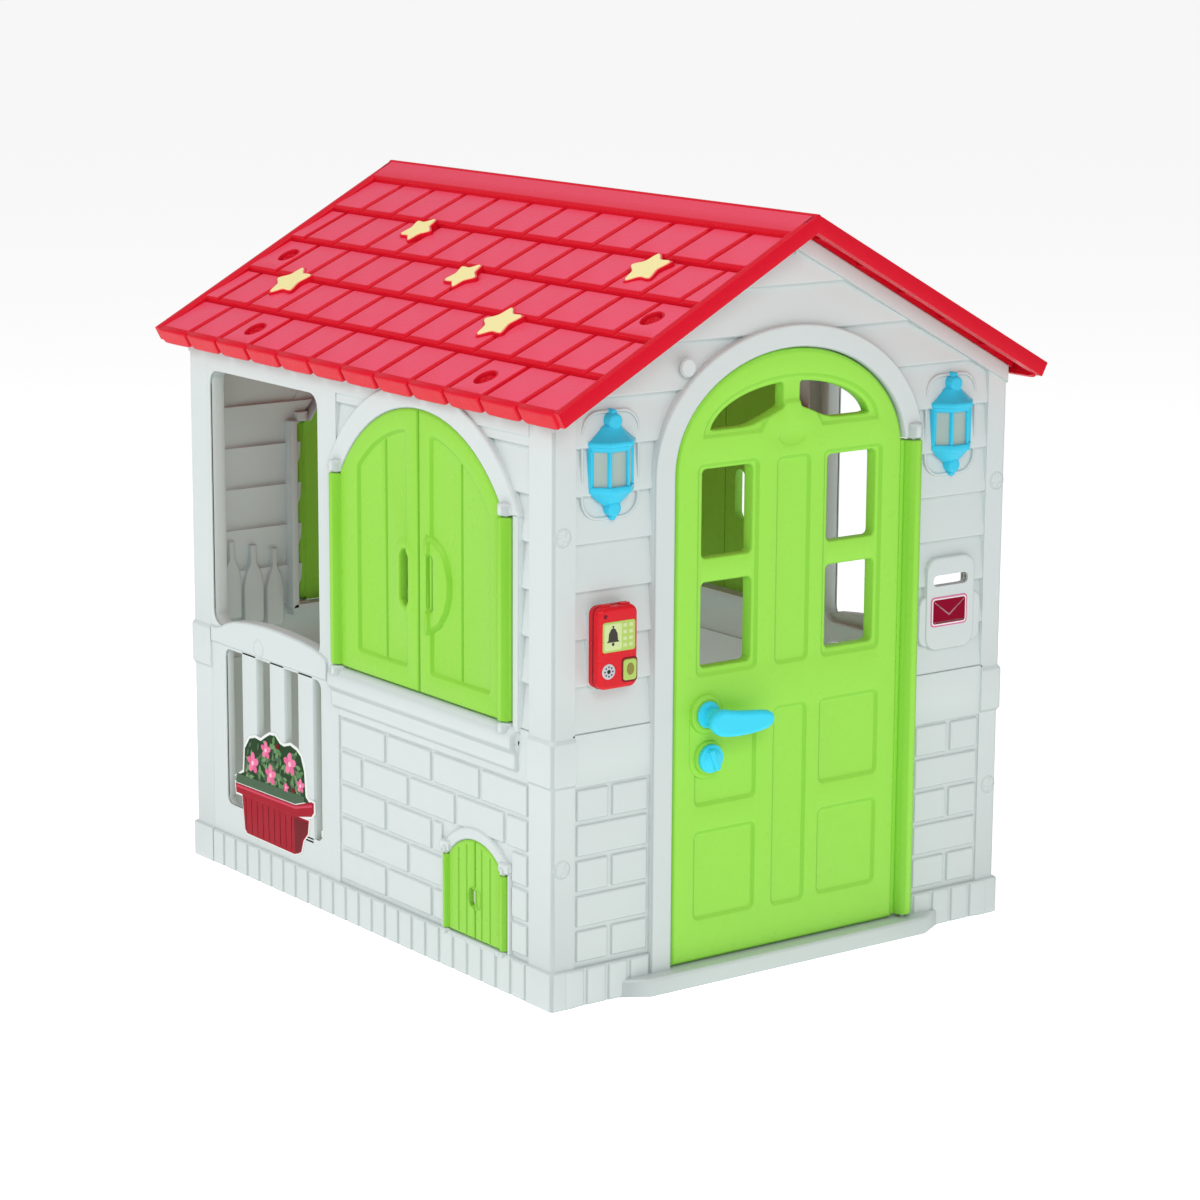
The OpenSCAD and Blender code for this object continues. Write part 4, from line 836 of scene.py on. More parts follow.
def lanternPiece(side):
    piece = Piece("lantern_" + side + "_case", onWall("front"))
    x = lantern["places"][side]
    piece.loft([lanternRing(x, z, *k) for z, k in
                ((766, (12, 6, 4)), (771, (19, 8, 6)), (779, (31, 12, 10)), (786, (39, 16, 13.5)),
                 (788, (43, 18, 15.5)), (789.5, (43.6, 18.4, 16)), (796, (43.6, 18.4, 16)),
                 (797.4, (43, 18, 15.5)), (798, (38, 15.6, 12)))])
    piece.loft([lanternRing(x, z, *k) for z, k in
                ((850, (38, 15.6, 12)), (851, (40.5, 17, 14.6)), (857, (41.5, 17.4, 15)),
                 (858.4, (45.5, 19.5, 17.2)), (860, (46, 20, 17.8)), (864, (46, 20, 17.8)),
                 (865.6, (45, 19.4, 17)), (867, (41, 17.6, 15)), (876, (29, 12, 10.6)),
                 (882, (21, 9, 8)), (884, (19.5, 8.6, 7.6)), (886, (18, 8, 7)), (889, (10, 4, 4)))])
    for a, b, w in ((-37, -0.5, 3), (-16.4, -18.6, 2.4), (16.4, -18.6, 2.4), (37, -0.5, 3)):
        piece.block((x + a - w, b - 1.2, 795), (x + a + w, 5, 853), 1.2)
    piece.pad(disc(x, 894, 12.5), 7, -11, 4.5)
    piece.pad(disc(x, 907, 5.5), 7, -6.5, 3)
    piece.pad(disc(x, 763, 12), 7, -10, 4.5)
    piece.pad(disc(x, 750, 5), 7, -5.5, 2.5)
    piece.pad(roundRect(x - 41, x + 41, 792, 862, 4), 7, 0.4, 1)
    return piece


def lanternPanes():
    piece = Piece("lantern_glass", onWall("front"))
    for x in lantern["places"].values():
        piece.loft([lanternRing(x, z, 37.6, 15.2, 11.4, 3) for z in (797.6, 850.4)])
    return piece


# letter label: an envelope flap instead of a word
def mailLabel():
    piece = Piece("letter_label", onWall("front"))
    x, z = 333, 525.5
    for grow_, front, paint in ((0, -3.5, 0), (-2.6, -3.7, 1), (-4.6, -3.9, 2)):
        piece.pad(roundRect(x - 39 - grow_, x + 39 + grow_, z - 24.5 - grow_, z + 24.5 + grow_,
                            7 + grow_ * 0.6), -2.5, front, 0.4, paint=paint)
    flap = freeShape([(x - 31, z + 17), (x, z - 5), (x + 31, z + 17), (x + 31, z + 15), (x, z - 7.4),
                      (x - 31, z + 15)])
    piece.pad(flap, -3.8, -4.15, 0.2, paint=3)
    piece.pad(roundRect(x - 31, x + 31, z - 18, z - 16.4, 0.6, 2), -3.8, -4.1, 0.2, paint=3)
    return piece


# planter picture panel
planter = {"flowers": [(-335, 205, 18), (-292, 236, 15), (-277, 196, 17), (-215, 228, 19),
                       (-182, 198, 12), (-228, 185, 8)],
           "spots": [(-253, 250, 5), (-205, 185, 5)], "leaves": 150, "seed": 5}


def planterPiece(side):
    piece = Piece("planter_panel_" + side, onWall(side))
    crown = freeShape([(-395, 170), (-366, 182), (-362, 225), (-346, 245), (-328, 250), (-310, 248),
                       (-297, 256), (-280, 265), (-262, 266), (-248, 256), (-235, 254), (-215, 260),
                       (-196, 256), (-182, 248), (-172, 225), (-168, 182), (-152, 172)])
    pot = freeShape([(-373, 143), (-365, 82), (-358, 76), (-205, 75), (-192, 79), (-183, 84),
                     (-176, 105), (-162, 119), (-158, 143)])
    rim = freeShape([(-393, 158), (-391, 142), (-196, 142), (-150, 152), (-142, 160), (-142, 176),
                     (-150, 177), (-200, 161)])
    piece.pad(lambda g: crown(g + 5), 0, -1.4, 0.5, paint=0)
    piece.pad(lambda g: pot(g + 2), -0.2, -1.5, 0.4, paint=0)
    piece.pad(lambda g: rim(g + 4), -0.4, -1.7, 0.5, paint=0)
    piece.pad(crown, -0.6, -1.9, 0.3, paint=1)
    rng = np.random.default_rng(planter["seed"])
    made = 0
    while made < planter["leaves"]:
        p = np.array([rng.uniform(-365, -170), rng.uniform(176, 262)])
        if distanceTo(p[None], crown(0))[0] > -7:
            continue
        a, r = rng.uniform(0, 2 * math.pi), rng.uniform(7, 12)
        leaf = [(-r * 0.8, 0), (-r * 0.4, -r * 0.3), (r * 0.2, -r * 0.34), (r * 0.9, 0),
                (r * 0.2, r * 0.34), (-r * 0.4, r * 0.3)]
        piece.pad(freeShape(spun(leaf, *p, a)), -1.6, -2.1 - 0.004 * made, 0.25, paint=2 + made % 3)
        made += 1
    for x, z, r in planter["flowers"]:
        for k in range(5):
            a = math.radians(90 + 72 * k)
            cx, cz = x + 0.56 * r * math.cos(a), z + 0.56 * r * math.sin(a)
            petal = [(0.5 * r * math.cos(t), 0.34 * r * math.sin(t)) for t in turnsOf(12)]
            piece.pad(freeShape(spun(petal, cx, cz, a)), -1.6, -2.85 - 0.02 * k, 0.3, paint=5 + k % 2)
        piece.pad(disc(x, z, 0.24 * r, 12), -1.6, -3.2, 0.3, paint=7)
    for x, z, r in planter["spots"]:
        piece.pad(disc(x, z, r, 12), -1.6, -2.9, 0.3, paint=8)
    piece.pad(freeShape([(-392, 160), (-200, 163), (-172, 172), (-170, 182), (-388, 176)]), -1, -2.6,
              0.3, paint=4)
    piece.pad(pot, -0.7, -2.0, 0.4, paint=9)
    piece.pad(freeShape([(-205, 140), (-203, 77), (-192, 80), (-184, 86), (-178, 106), (-163, 120),
                         (-160, 140)]), -0.8, -2.15, 0.3, paint=8)
    for k in range(9):                     # ribs printed on the pot
        x = -362 + k * 18.5
        piece.pad(freeShape([(x, 139), (x + 2.2 - 0.2 * k, 79), (x + 4 - 0.2 * k, 79), (x + 2, 139)]),
                  -0.9, -2.12, 0.2, paint=8)
    piece.pad(rim, -1.0, -2.9, 0.6, paint=9)
    piece.pad(freeShape([(-390, 156), (-389, 152), (-199, 155), (-146, 169), (-146, 173),
                         (-199, 159)]), -1.1, -3.05, 0.2, paint=10)
    return piece


# front door
door = {"half": 226, "spring": 800, "rise": 176, "foot": 30, "thick": 24, "fieldDepth": 4.2,
        "fieldSlope": 6.5}
fanLight = [(160 * math.cos(math.radians(t)), 851 + 74 * math.sin(math.radians(t)))
            for t in range(10, 83, 6)] + [(20, 924.5), (17, 921), (17, 888), (20, 884.5),
                                          (26, 882.5), (66, 867), (80, 863.3), (96, 862),
                                          (150, 862), (155, 863)]


def doorLeaf():
    piece = Piece("door_leaf_skin", onWall("front", 4))
    leaf = doorArch(door["half"], door["spring"], door["rise"], door["foot"], 44)
    top = Relief(level(0))
    top.mark(leaf, [(-9, 0), (-6.5, 0.35), (-4, 1.2), (-2, 2.8), (-0.6, 5), (0, 7)])
    f, w = door["fieldDepth"], door["fieldSlope"]
    fieldSteps = [(-w - 1, f), (-w + 0.6, f - 0.25), (-1.4, 0.35), (0, 0)]
    fields = [roundRect(-31, 39, 482, 812, 13), roundRect(-31, 39, 92, 418, 13)]
    for s in (-1, 1):
        for x0, x1, z0, z1 in ((63, 185, 482, 814), (62, 186, 277, 418), (62, 186, 95, 240)):
            fields.append(roundRect(*span(s, x0, x1), z0, z1, 12))
    sunburst = arcPoints(0, 850, 176, 88, 0, 180, 36) + [(-58.7, 850)] + \
        arcPoints(0, 830, 62, 62, 161.2, 18.8, 14)[1:-1] + [(58.7, 850)]
    fields.append(freeShape(sunburst))
    for shape in fields:
        top.mark(shape, fieldSteps)
    top.mark(oval(0, 841, 28, 16), [(-4, 1.4), (-1, 0.3), (0, 0)])
    holes = []
    for s in (-1, 1):
        for z0, z1 in ((666, 804), (496, 629)):
            holes.append(roundRect(*span(s, 75, 172), z0, z1, 8))
        holes.append(freeShape([(s * x, z) for x, z in fanLight]))
    for shape in holes:
        top.mark(shape, [(0, 2.0), (0.8, 0.7), (2.6, 0)])
    piece.sheet(leaf(0), [h(0) for h in holes], top.lines, top.height, back=level(door["thick"]))
    piece.barrel(247, 1, 34, 812, 15, 2.5, 40)
    piece.block((218, 5, 33.5), (243, 22, 812.5), 1.5)
    piece.pad(roundRect(-196, -131, 322, 460, 32, 8), 7, -0.9, 1.6)
    for x, z, r in ((-165, 425, 31), (-160, 355, 27)):
        piece.pad(disc(x, z, r, 48), 5, -6, 3)
        piece.bead(disc(x, z, r - 7, 40), -5.9, 3, 0.8)
    return piece


# a plate with both faces rounded over
def slab(piece, shape, q0, q1, r):
    prof = [(-r - 1, q0), (-r, q0), (-0.5 * r, q0 + 0.13 * r), (-0.13 * r, q0 + 0.5 * r),
            (0, q0 + r), (0, q1 - r), (-0.13 * r, q1 - 0.5 * r), (-0.5 * r, q1 - 0.13 * r),
            (-r, q1), (-r - 1, q1)]
    piece.section(shape, prof)


# lever and lock
lever = {"hub": (-165, 425), "lock": (-160, 355), "knobTurn": 22}
leverOutline = [(-150, 436), (-158, 438.4), (-167, 437.8), (-176, 434), (-183, 427), (-185, 419),
                (-182, 410), (-175, 402), (-165, 396.6), (-150, 393.6), (-130, 392.4),
                (-110, 392.8), (-90, 394.4), (-75, 397), (-66, 401.4), (-61.5, 408), (-61.5, 415),
                (-65, 421), (-72, 425), (-85, 427.6), (-105, 429.6), (-130, 432.4)]


def leverPiece(name, inner):
    piece = Piece(name, onWall("front"))
    lo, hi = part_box("handle_inner" if inner else "handle_outer")
    q = [round(1000 * v[1] + house["endDepth"], 1) for v in (lo, hi)]
    if inner:
        q0, q1, neck = q[1] - 17, q[1] - 1, (q[0], q[1] - 6)
    else:
        q0, q1, neck = q[0] + 1, q[0] + 17, (q[0] + 6, 2)
    slab(piece, freeShape(leverOutline), q0, q1, 6.5)
    x, z = lever["hub"]
    piece.knob(x, z, [(12.5, neck[0]), (12.5, neck[1])])
    if inner:
        piece.knob(x, z, [(19, q[0]), (20, q[0] + 1), (20, q[0] + 4), (18.5, q[0] + 5.5),
                          (12, q[0] + 6)])
    else:
        piece.knob(x, z, [(14, -9.5), (19.5, -10.5), (21, -12), (21, -14), (19.6, -16), (13, -17)])
        piece.knob(x, z, [(8, -9), (8, 24)])
    return piece


def lockPiece():
    piece = Piece("lock_knob_skin", onWall("front"))
    x, z = lever["lock"]
    piece.knob(x, z, [(5, 28), (5, -10.2), (22, -10.2), (22.4, -11.2), (22.4, -15.4), (21.6, -16.8),
                      (20, -17.4), (17.6, -17.4), (16.4, -18), (15.4, -19.8), (13, -21.6), (8, -22.6),
                      (0.5, -23)], 40)
    grip = [(-5, -16), (-2.5, -18.5), (2.5, -18.5), (5, -16), (5.6, 0), (5, 16), (2.5, 18.5),
            (-2.5, 18.5), (-5, 16), (-5.6, 0)]
    piece.pad(freeShape(spun(grip, x, z, math.radians(lever["knobTurn"]))), -14, -27.5, 3.4)
    piece.pad(roundRect(x + 9, x + 12.4, z - 13, z - 6, 1, 2), -17, -19.6, 0.5, paint=1)
    return piece


# shutters
shutter = {"half": 228.5, "foot": 429, "axis": 236, "thick": 16, "fieldDepth": 4.6,
           "hole": (42, 605), "grip": (32, 608)}


def shutterShape(g):
    r, side = window["archR"] + g, shutter["half"] + g
    t0 = math.degrees(math.acos(side / r))
    t1 = math.degrees(math.acos((1 - g) / r))
    foot = shutter["foot"] - g
    return [(1 - g, foot), (side, foot)] + arcPoints(0, window["archZ"], r, r, t0, t1, 26)


def shutterPiece(name, side, s):
    raised = "hole" not in leafKind[name]
    u0 = 0 if side == "back" else window["middle"]
    piece = Piece(name + "_skin", onWall(side, 6))
    outer = 197 if raised else 176
    low, r = 462, window["archR"] - 31

    def fieldShape(g):
        a, b, rr = 31 - g, outer + g, r + g
        t0 = math.degrees(math.acos(b / rr)) if b < rr else 0
        t1 = math.degrees(math.acos(a / rr))
        c = 8 + g if g > -7 else 1
        return arcPoints(a + c, low - g + c, c, c, 180, 270, 4) + \
            arcPoints(b - c, low - g + c, c, c, 270, 360, 4) + \
            arcPoints(0, window["archZ"], rr, rr, t0, t1 - 1.5, 18) + [(a, window["archZ"] + rr * 0.965)]

    def turned(shape):
        return handed(shape, s, u0)
    top = Relief(level(0))
    top.mark(turned(shutterShape), [(-5, 0), (-3.4, 0.3), (-1.8, 1.1), (-0.5, 2.6), (0, 4)])
    d = shutter["fieldDepth"]
    top.mark(turned(fieldShape), [(-7, d), (-5.4, d - 0.3), (-1.4, 0.4), (0, 0)])
    x = 115 if raised else 96                  # the groove between two planks
    zTop = window["archZ"] + math.sqrt((r - 8) ** 2 - x * x)
    top.mark(turned(roundRect(x - 0.6, x + 0.6, low + 6, zTop, 0.5, 2)),
             [(-0.3, 2.6), (0.8, 1.6), (2.6, 0)])
    holes = []
    gx, gz = shutter["grip"] if raised else shutter["hole"]
    if raised:
        # D-shaped grip standing out of the recess, with a finger pocket
        dShape = freeShape([(22, gz - 84), (34, gz - 80), (58, gz - 66), (78, gz - 40),
                            (87, gz - 14), (88, gz + 12), (80, gz + 40), (62, gz + 62),
                            (42, gz + 72), (22, gz + 76)])
        top.mark(turned(dShape), [(-10, -d - 2), (-6, -d - 1.7), (-1.5, -d * 0.5), (0, 0)])
        top.mark(turned(roundRect(gx - 11, gx + 11, gz - 46, gz + 46, 10)),
                 [(-6, 9), (-3, 8.4), (-0.8, 3), (0.6, 0.4), (2, 0)])
        top.mark(turned(roundRect(gx + 12, gx + 36, gz - 52, gz + 52, 11)), [(-6, -0.8), (0, 0)])
    else:
        slot = roundRect(gx - 13.5, gx + 13.5, gz - 45, gz + 45, 13.2, 8)
        holes.append(turned(slot)(0))
        top.mark(turned(slot), [(0, 0.4), (1.2, -1.4), (3, -2.6), (8, -2.4), (13, -1.8),
                                (18, -0.6), (21, 0)])
    piece.sheet(turned(shutterShape)(0), holes, top.lines, top.height, back=level(shutter["thick"]))
    b0, b1 = 432.5, 744.5
    piece.barrel(u0 + s * shutter["axis"], 2, b0, b1, 14, 2.4, 36)
    x0, x1 = span(s, 220, 232, u0)
    piece.block((x0, 3.5, b0 + 0.5), (x1, 15.5, b1 - 0.5), 1)
    return piece


leafKind = {"left_shutter_rear": "hole", "left_shutter_front": "raised",
            "right_shutter_front": "hole", "right_shutter_rear": "raised",
            "back_shutter_left": "hole", "back_shutter_right": "raised"}


# pet door leaves
def petShape(g):
    r, side = petDoor["archR"] + g, petDoor["half"] + g
    t0 = math.degrees(math.acos(side / r))
    t1 = math.degrees(math.acos((0.8 - g) / r))
    foot = petDoor["foot"] - g
    return [(0.8 - g, foot), (side, foot)] + arcPoints(0, petDoor["archZ"], r, r, t0, t1, 20)


def petPiece(name, side, s, hole):
    piece = Piece(name + "_skin", onWall(side, 3))
    u0 = petDoor["middle"]

    def turned(shape):
        return handed(shape, s, u0)
    top = Relief(level(0))
    top.mark(turned(petShape), [(-3.4, 0), (-2, 0.4), (-0.7, 1.3), (0, 2.4)])
    for x in ((22, 44) if hole else (19, 42)):
        zTop = petDoor["archZ"] + math.sqrt((petDoor["archR"] - 8) ** 2 - x * x)
        top.mark(turned(roundRect(x - 0.8, x + 0.8, 68, zTop, 0.7, 2)),
                 [(-0.4, 1.7), (0.5, 1.0), (1.6, 0)])
    ring = freeShape([(0.9, 150.5)] + arcPoints(0, 130, 20.5, 20.5, 86, -86, 18) + [(0.9, 109.5)])
    if hole:
        slot = roundRect(2.5, 15.5, 115, 145, 6.4, 6)
        top.mark(turned(ring), [(-5, -1.8), (-3.6, -1.6), (-1, -0.3), (0, 0)])
        holes = [turned(slot)(0)]
        top.mark(turned(slot), [(0, 1.6), (1.2, 0.3), (2.2, 0)])
    else:
        top.mark(turned(ring), [(-5, 0.6), (-3.6, -1.2), (-1.8, -1.6), (0, 0)])
        holes = []
    piece.sheet(turned(petShape)(0), holes, top.lines, top.height, back=level(9))
    piece.barrel(u0 + s * petDoor["axis"], 1, 65.5, 184.5, 7, 1.4, 28)
    x0, x1 = span(s, 69, 76, u0)
    piece.block((x0, 2, 66), (x1, 8, 184), 0.8)
    return piece


# door bell
bell = {"low": 493.5, "high": 619.5, "front": -26.5}


def bellCase():
    piece = Piece("bell_case_skin", onWall("front"))
    front = bell["front"]
    body = roundRect(-384, -312, bell["low"], bell["high"], 13, 7)
    piece.section(body, [(0, 0.4), (0, front + 7), (-0.4, front + 4), (-1.6, front + 1.8),
                         (-3.6, front + 0.4), (-6, front), (-8, front)])
    piece.bead(body, -11, 1.6, 0.5, paint=1)
    piece.knob(-373, 606, [(3.4, front + 0.3), (3.4, front - 0.15), (0.3, front - 0.15)], 16, paint=1)
    piece.section(roundRect(-342.5, -313.5, 502, 540, 6), [(0, front + 0.5), (0, front - 0.4),
                                                          (-2.4, front - 0.4), (-2.4, front + 0.5)],
                  ring=True, paint=1)
    for x in (-366, -330):
        piece.block((x - 8, -20, bell["high"] - 3), (x + 8, -8, bell["high"] + 2.6), 1.6)
    return piece


def bellLabel():
    piece = Piece("bell_label_print", onWall("front"))
    front = bell["front"]
    piece.pad(roundRect(-378, -318, 551, 597, 4), front + 0.6, front - 0.5, 0.3, paint=0)
    piece.pad(roundRect(-375, -343, 554, 594, 3), front + 0.6, front - 0.62, 0.2, paint=1)
    # a plain bell sign
    piece.pad(freeShape([(-371, 566), (-368, 569), (-367, 579), (-363, 586), (-359, 588),
                         (-355, 586), (-351, 579), (-350, 569), (-347, 566)]), front + 0.6,
              front - 0.8, 0.2, paint=2)
    piece.pad(disc(-359, 563, 2.6, 16), front + 0.6, front - 0.8, 0.2, paint=2)
    piece.pad(disc(-359, 589.5, 1.8, 14), front + 0.6, front - 0.8, 0.2, paint=2)
    for x in (-337, -326):
        for z in (590, 580, 570, 560):
            piece.pad(roundRect(x - 3.4, x + 3.4, z - 3, z + 3, 1, 2), front + 0.6, front - 1.0, 0.4,
                      paint=1)
    return piece


def bellButton():
    piece = Piece("bell_push", onWall("front"))
    front = bell["front"]
    piece.pad(roundRect(-340, -316, 505, 537, 5), front + 4, front - 2.6, 1.2)
    piece.pad(oval(-328, 522, 7, 9.5), front + 2, front - 3.1, 0.7, paint=1)
    return piece


def bellGrille():
    piece = Piece("bell_speaker_cover", onWall("front"))
    front = bell["front"]
    piece.pad(disc(-367, 522, 11.8), front + 1, front - 1.2, 0.8)
    for k in range(8):
        a = math.radians(45 * k)
        piece.pad(disc(-367 + 7.2 * math.cos(a), 522 + 7.2 * math.sin(a), 1.5, 10), front + 0.6,
                  front - 1.45, 0.2, paint=1)
    piece.pad(disc(-367, 522, 3.4, 14), front + 0.6, front - 1.5, 0.4, paint=1)
    return piece


# finishes
def tone(r, g, b):
    c = [v / 255 for v in (r, g, b)]
    return tuple(v / 12.92 if v <= 0.04045 else ((v + 0.055) / 1.055) ** 2.4 for v in c) + (1.0,)


def mixed(tree, factor, a, b):
    return put(tree, "ShaderNodeMix", {"Factor": factor, 6: a, 7: b}, data_type="RGBA").outputs[2]


def ramp(tree, value, low, high, start=0.0, end=1.0):
    return put(tree, "ShaderNodeMapRange", {"Value": value, "From Min": low, "From Max": high,
                                            "To Min": start, "To Max": end}).outputs[0]


def noise(tree, vector, scale, detail):
    return put(tree, "ShaderNodeTexNoise", {"Vector": vector, "Scale": scale,
                                            "Detail": detail}).outputs[0]


# fine spark-eroded grain of a mould, as a height
grainGroup, gi, go = newGroup("mouldGrain", "ShaderNodeTree", {
    "Vector": (0, 0, 0), "Grain scale": 900.0, "Wave scale": 9.0, "Wave share": 0.6},
    {"Height": "Float"})
fine = noise(grainGroup, gi["Vector"], gi["Grain scale"], 3.0)
wave = noise(grainGroup, gi["Vector"], gi["Wave scale"], 1.0)
waves = calc(grainGroup, "MULTIPLY", wave, gi["Wave share"])
grainGroup.links.new(calc(grainGroup, "ADD", fine, waves), go["Height"])

# slow drift of colour through the plastic, and dust near the ground
driftGroup, gi, go = newGroup("colourDrift", "ShaderNodeTree", {
    "Vector": (0, 0, 0), "Color": (0.8, 0.8, 0.8, 1), "Pale color": (0.9, 0.9, 0.9, 1),
    "Cloud scale": 3.0, "Drift": 0.25, "Dust color": (0.55, 0.52, 0.46, 1), "Dust": 0.1,
    "Rough low": 0.3, "Rough high": 0.45}, {"Color": "Color", "Roughness": "Float"})
cloud = noise(driftGroup, gi["Vector"], gi["Cloud scale"], 4.0)
cloudAmount = calc(driftGroup, "MULTIPLY", cloud, gi["Drift"])
blend = mixed(driftGroup, cloudAmount, gi["Color"], gi["Pale color"])
where = put(driftGroup, "ShaderNodeSeparateXYZ", {0: gi["Vector"]})
lowDown = ramp(driftGroup, where.outputs["Z"], 0.0, 0.25, 1.0, 0.0)
patchy = calc(driftGroup, "MULTIPLY", lowDown, noise(driftGroup, gi["Vector"], 14.0, 6.0))
dust = calc(driftGroup, "MULTIPLY", patchy, gi["Dust"])
driftGroup.links.new(mixed(driftGroup, dust, blend, gi["Dust color"]), go["Color"])
scuff = noise(driftGroup, gi["Vector"], 42.0, 5.0)
rough = ramp(driftGroup, scuff, 0.3, 0.7, gi["Rough low"], gi["Rough high"])
driftGroup.links.new(rough, go["Roughness"])

# painted sheen: faces that look up the slope are paler than the walls of the grooves
sheenGroup, gi, go = newGroup("paintedTopSheen", "ShaderNodeTree", {
    "Sheen color": (0.9, 0.2, 0.3, 1), "Groove color": (0.7, 0.02, 0.05, 1), "Start": 0.8,
    "End": 0.905}, {"Color": "Color"})
facing = sheenGroup.nodes.new("ShaderNodeNewGeometry")
facingZ = put(sheenGroup, "ShaderNodeSeparateXYZ", {0: facing.outputs["Normal"]})
sheenMask = ramp(sheenGroup, facingZ.outputs["Z"], gi["Start"], gi["End"])
sheenGroup.links.new(mixed(sheenGroup, sheenMask, gi["Groove color"], gi["Sheen color"]), go["Color"])

# painted shade: sloping edges and the walls of recesses are darker in colour, except where they look up
# towards the light
paintedShadeGroup, gi, go = newGroup("paintedReliefShade", "ShaderNodeTree", {
    "Normal": (0, 0, 0), "Color": (0.8, 0.8, 0.8, 1), "Painted shade color": (0.5, 0.5, 0.5, 1),
    "Amount": 0.6, "Slope start": 0.985, "Slope full": 0.9}, {"Color": "Color"})
size = put(paintedShadeGroup, "ShaderNodeVectorMath", {0: gi["Normal"]}, operation="ABSOLUTE")
sizes = put(paintedShadeGroup, "ShaderNodeSeparateXYZ", {0: size.outputs[0]}).outputs
flattest = calc(paintedShadeGroup, "MAXIMUM", calc(paintedShadeGroup, "MAXIMUM", sizes[0], sizes[1]), sizes[2])
sloping = ramp(paintedShadeGroup, flattest, gi["Slope full"], gi["Slope start"], 1.0, 0.0)
signed = put(paintedShadeGroup, "ShaderNodeSeparateXYZ", {0: gi["Normal"]})
notUp = ramp(paintedShadeGroup, signed.outputs[2], 0.1, 0.5, 1.0, 0.0)
paintedShadeMask = calc(paintedShadeGroup, "MULTIPLY", calc(paintedShadeGroup, "MULTIPLY", sloping, notUp), gi["Amount"])
paintedShadeGroup.links.new(mixed(paintedShadeGroup, paintedShadeMask, gi["Color"], gi["Painted shade color"]), go["Color"])


def addGroup(tree, group, values):
    node = tree.nodes.new("ShaderNodeGroup")
    node.node_tree = group
    for k, v in values.items():
        if isinstance(v, bpy.types.NodeSocket):
            tree.links.new(v, node.inputs[k])
        else:
            node.inputs[k].default_value = v
    return node


def plastic(name, color, pale=None, rough=(0.3, 0.42), drift=0.3, grain=0.12, dust=0.06,
            coat=0.0, specular=0.2, metallic=0.0, sheenTop=None, paintedShade=None, paintedShadeAmount=0.6):
    mat = bpy.data.materials.new(name)
    mat.use_nodes = True
    tree = mat.node_tree
    bsdf = tree.nodes["Principled BSDF"]
    coordinates = tree.nodes.new("ShaderNodeTexCoord").outputs
    where = coordinates["Object"]
    base = tone(*color)
    paleColor = tone(*pale) if pale else tuple(min(1, c * 1.12 + 0.01) for c in base[:3]) + (1.0,)
    colorIn = base
    # painted sheen: up-facing faces take the lighter top colour
    if sheenTop:
        colorIn = addGroup(tree, sheenGroup, {"Sheen color": tone(*sheenTop),
                                              "Groove color": base}).outputs["Color"]
    # painted shade: recess walls and sloping edges take the darker shade colour
    if paintedShade:
        colorIn = addGroup(tree, paintedShadeGroup, {
            "Normal": coordinates["Normal"], "Color": colorIn, "Painted shade color": tone(*paintedShade),
            "Amount": paintedShadeAmount}).outputs["Color"]
    skin = addGroup(tree, driftGroup, {"Vector": where, "Color": colorIn, "Pale color": paleColor,
                                       "Drift": drift, "Dust": dust, "Rough low": rough[0],
                                       "Rough high": rough[1]})
    grainNode = addGroup(tree, grainGroup, {"Vector": where})
    bump = put(tree, "ShaderNodeBump", {"Height": grainNode.outputs["Height"], "Strength": grain,
                                        "Distance": 0.001})
    tree.links.new(skin.outputs["Color"], bsdf.inputs["Base Color"])
    tree.links.new(skin.outputs["Roughness"], bsdf.inputs["Roughness"])
    tree.links.new(bump.outputs["Normal"], bsdf.inputs["Normal"])
    for socket, value in (("Metallic", metallic), ("Specular IOR Level", specular),
                          ("Coat Weight", coat), ("Coat Roughness", 0.12)):
        bsdf.inputs[socket].default_value = value
    return mat


# whiteWall's shade colour is painted shade in the walls of recesses and on sloping edges
whiteWall = plastic("whiteWall", (209, 218, 217), (218, 226, 225), (0.34, 0.5), dust=0.05,
                    specular=0.3, paintedShade=(150, 163, 163))
# tileRed's top colour is a painted sheen on up-facing tile faces
tileRed = plastic("tileRed", (216, 16, 40), None, (0.24, 0.38), drift=0.12, specular=0.12, grain=0.05,
                  sheenTop=(243, 88, 116))
roofRed = plastic("roofRed", (218, 20, 44), None, (0.24, 0.36), drift=0.15, specular=0.12,
                  grain=0.05)
starYellow = plastic("starYellow", (250, 236, 170), None, (0.4, 0.5), drift=0.2)
# the greens' shade colours are painted shade in recesses and on sloping edges
leafGreen = plastic("leafGreen", (146, 212, 68), (156, 222, 80), (0.24, 0.38), specular=0.16,
                    grain=0.07, paintedShade=(104, 178, 30))
doorGreen = plastic("doorGreen", (156, 226, 80), (166, 234, 92), (0.24, 0.38), specular=0.16,
                    grain=0.07, paintedShade=(112, 190, 38), paintedShadeAmount=0.55)
lanternBlue = plastic("lanternBlue", (56, 200, 234), None, (0.26, 0.38), coat=0.1)
leverBlue = plastic("leverBlue", (58, 216, 248), None, (0.2, 0.3), coat=0.08)
keyDark = plastic("keyDark", (30, 90, 100), None, (0.4, 0.5))
paneGrey = plastic("paneGrey", (165, 185, 178), (185, 200, 195), (0.3, 0.5))
labelPink = plastic("labelPink", (214, 120, 160), None, (0.2, 0.3), coat=0.3)
labelWhite = plastic("labelWhite", (238, 236, 238), None, (0.2, 0.3), coat=0.3)
labelCrimson = plastic("labelCrimson", (140, 0, 38), (154, 2, 50), (0.3, 0.4), specular=0.05)
labelShade = plastic("labelShade", (236, 190, 205), None, (0.2, 0.3), coat=0.3)
printWhite = plastic("printWhite", (232, 236, 234), None, (0.3, 0.4))
printDark = plastic("printDark", (24, 56, 28), (46, 80, 38), (0.3, 0.4), drift=0.6, specular=0.05)
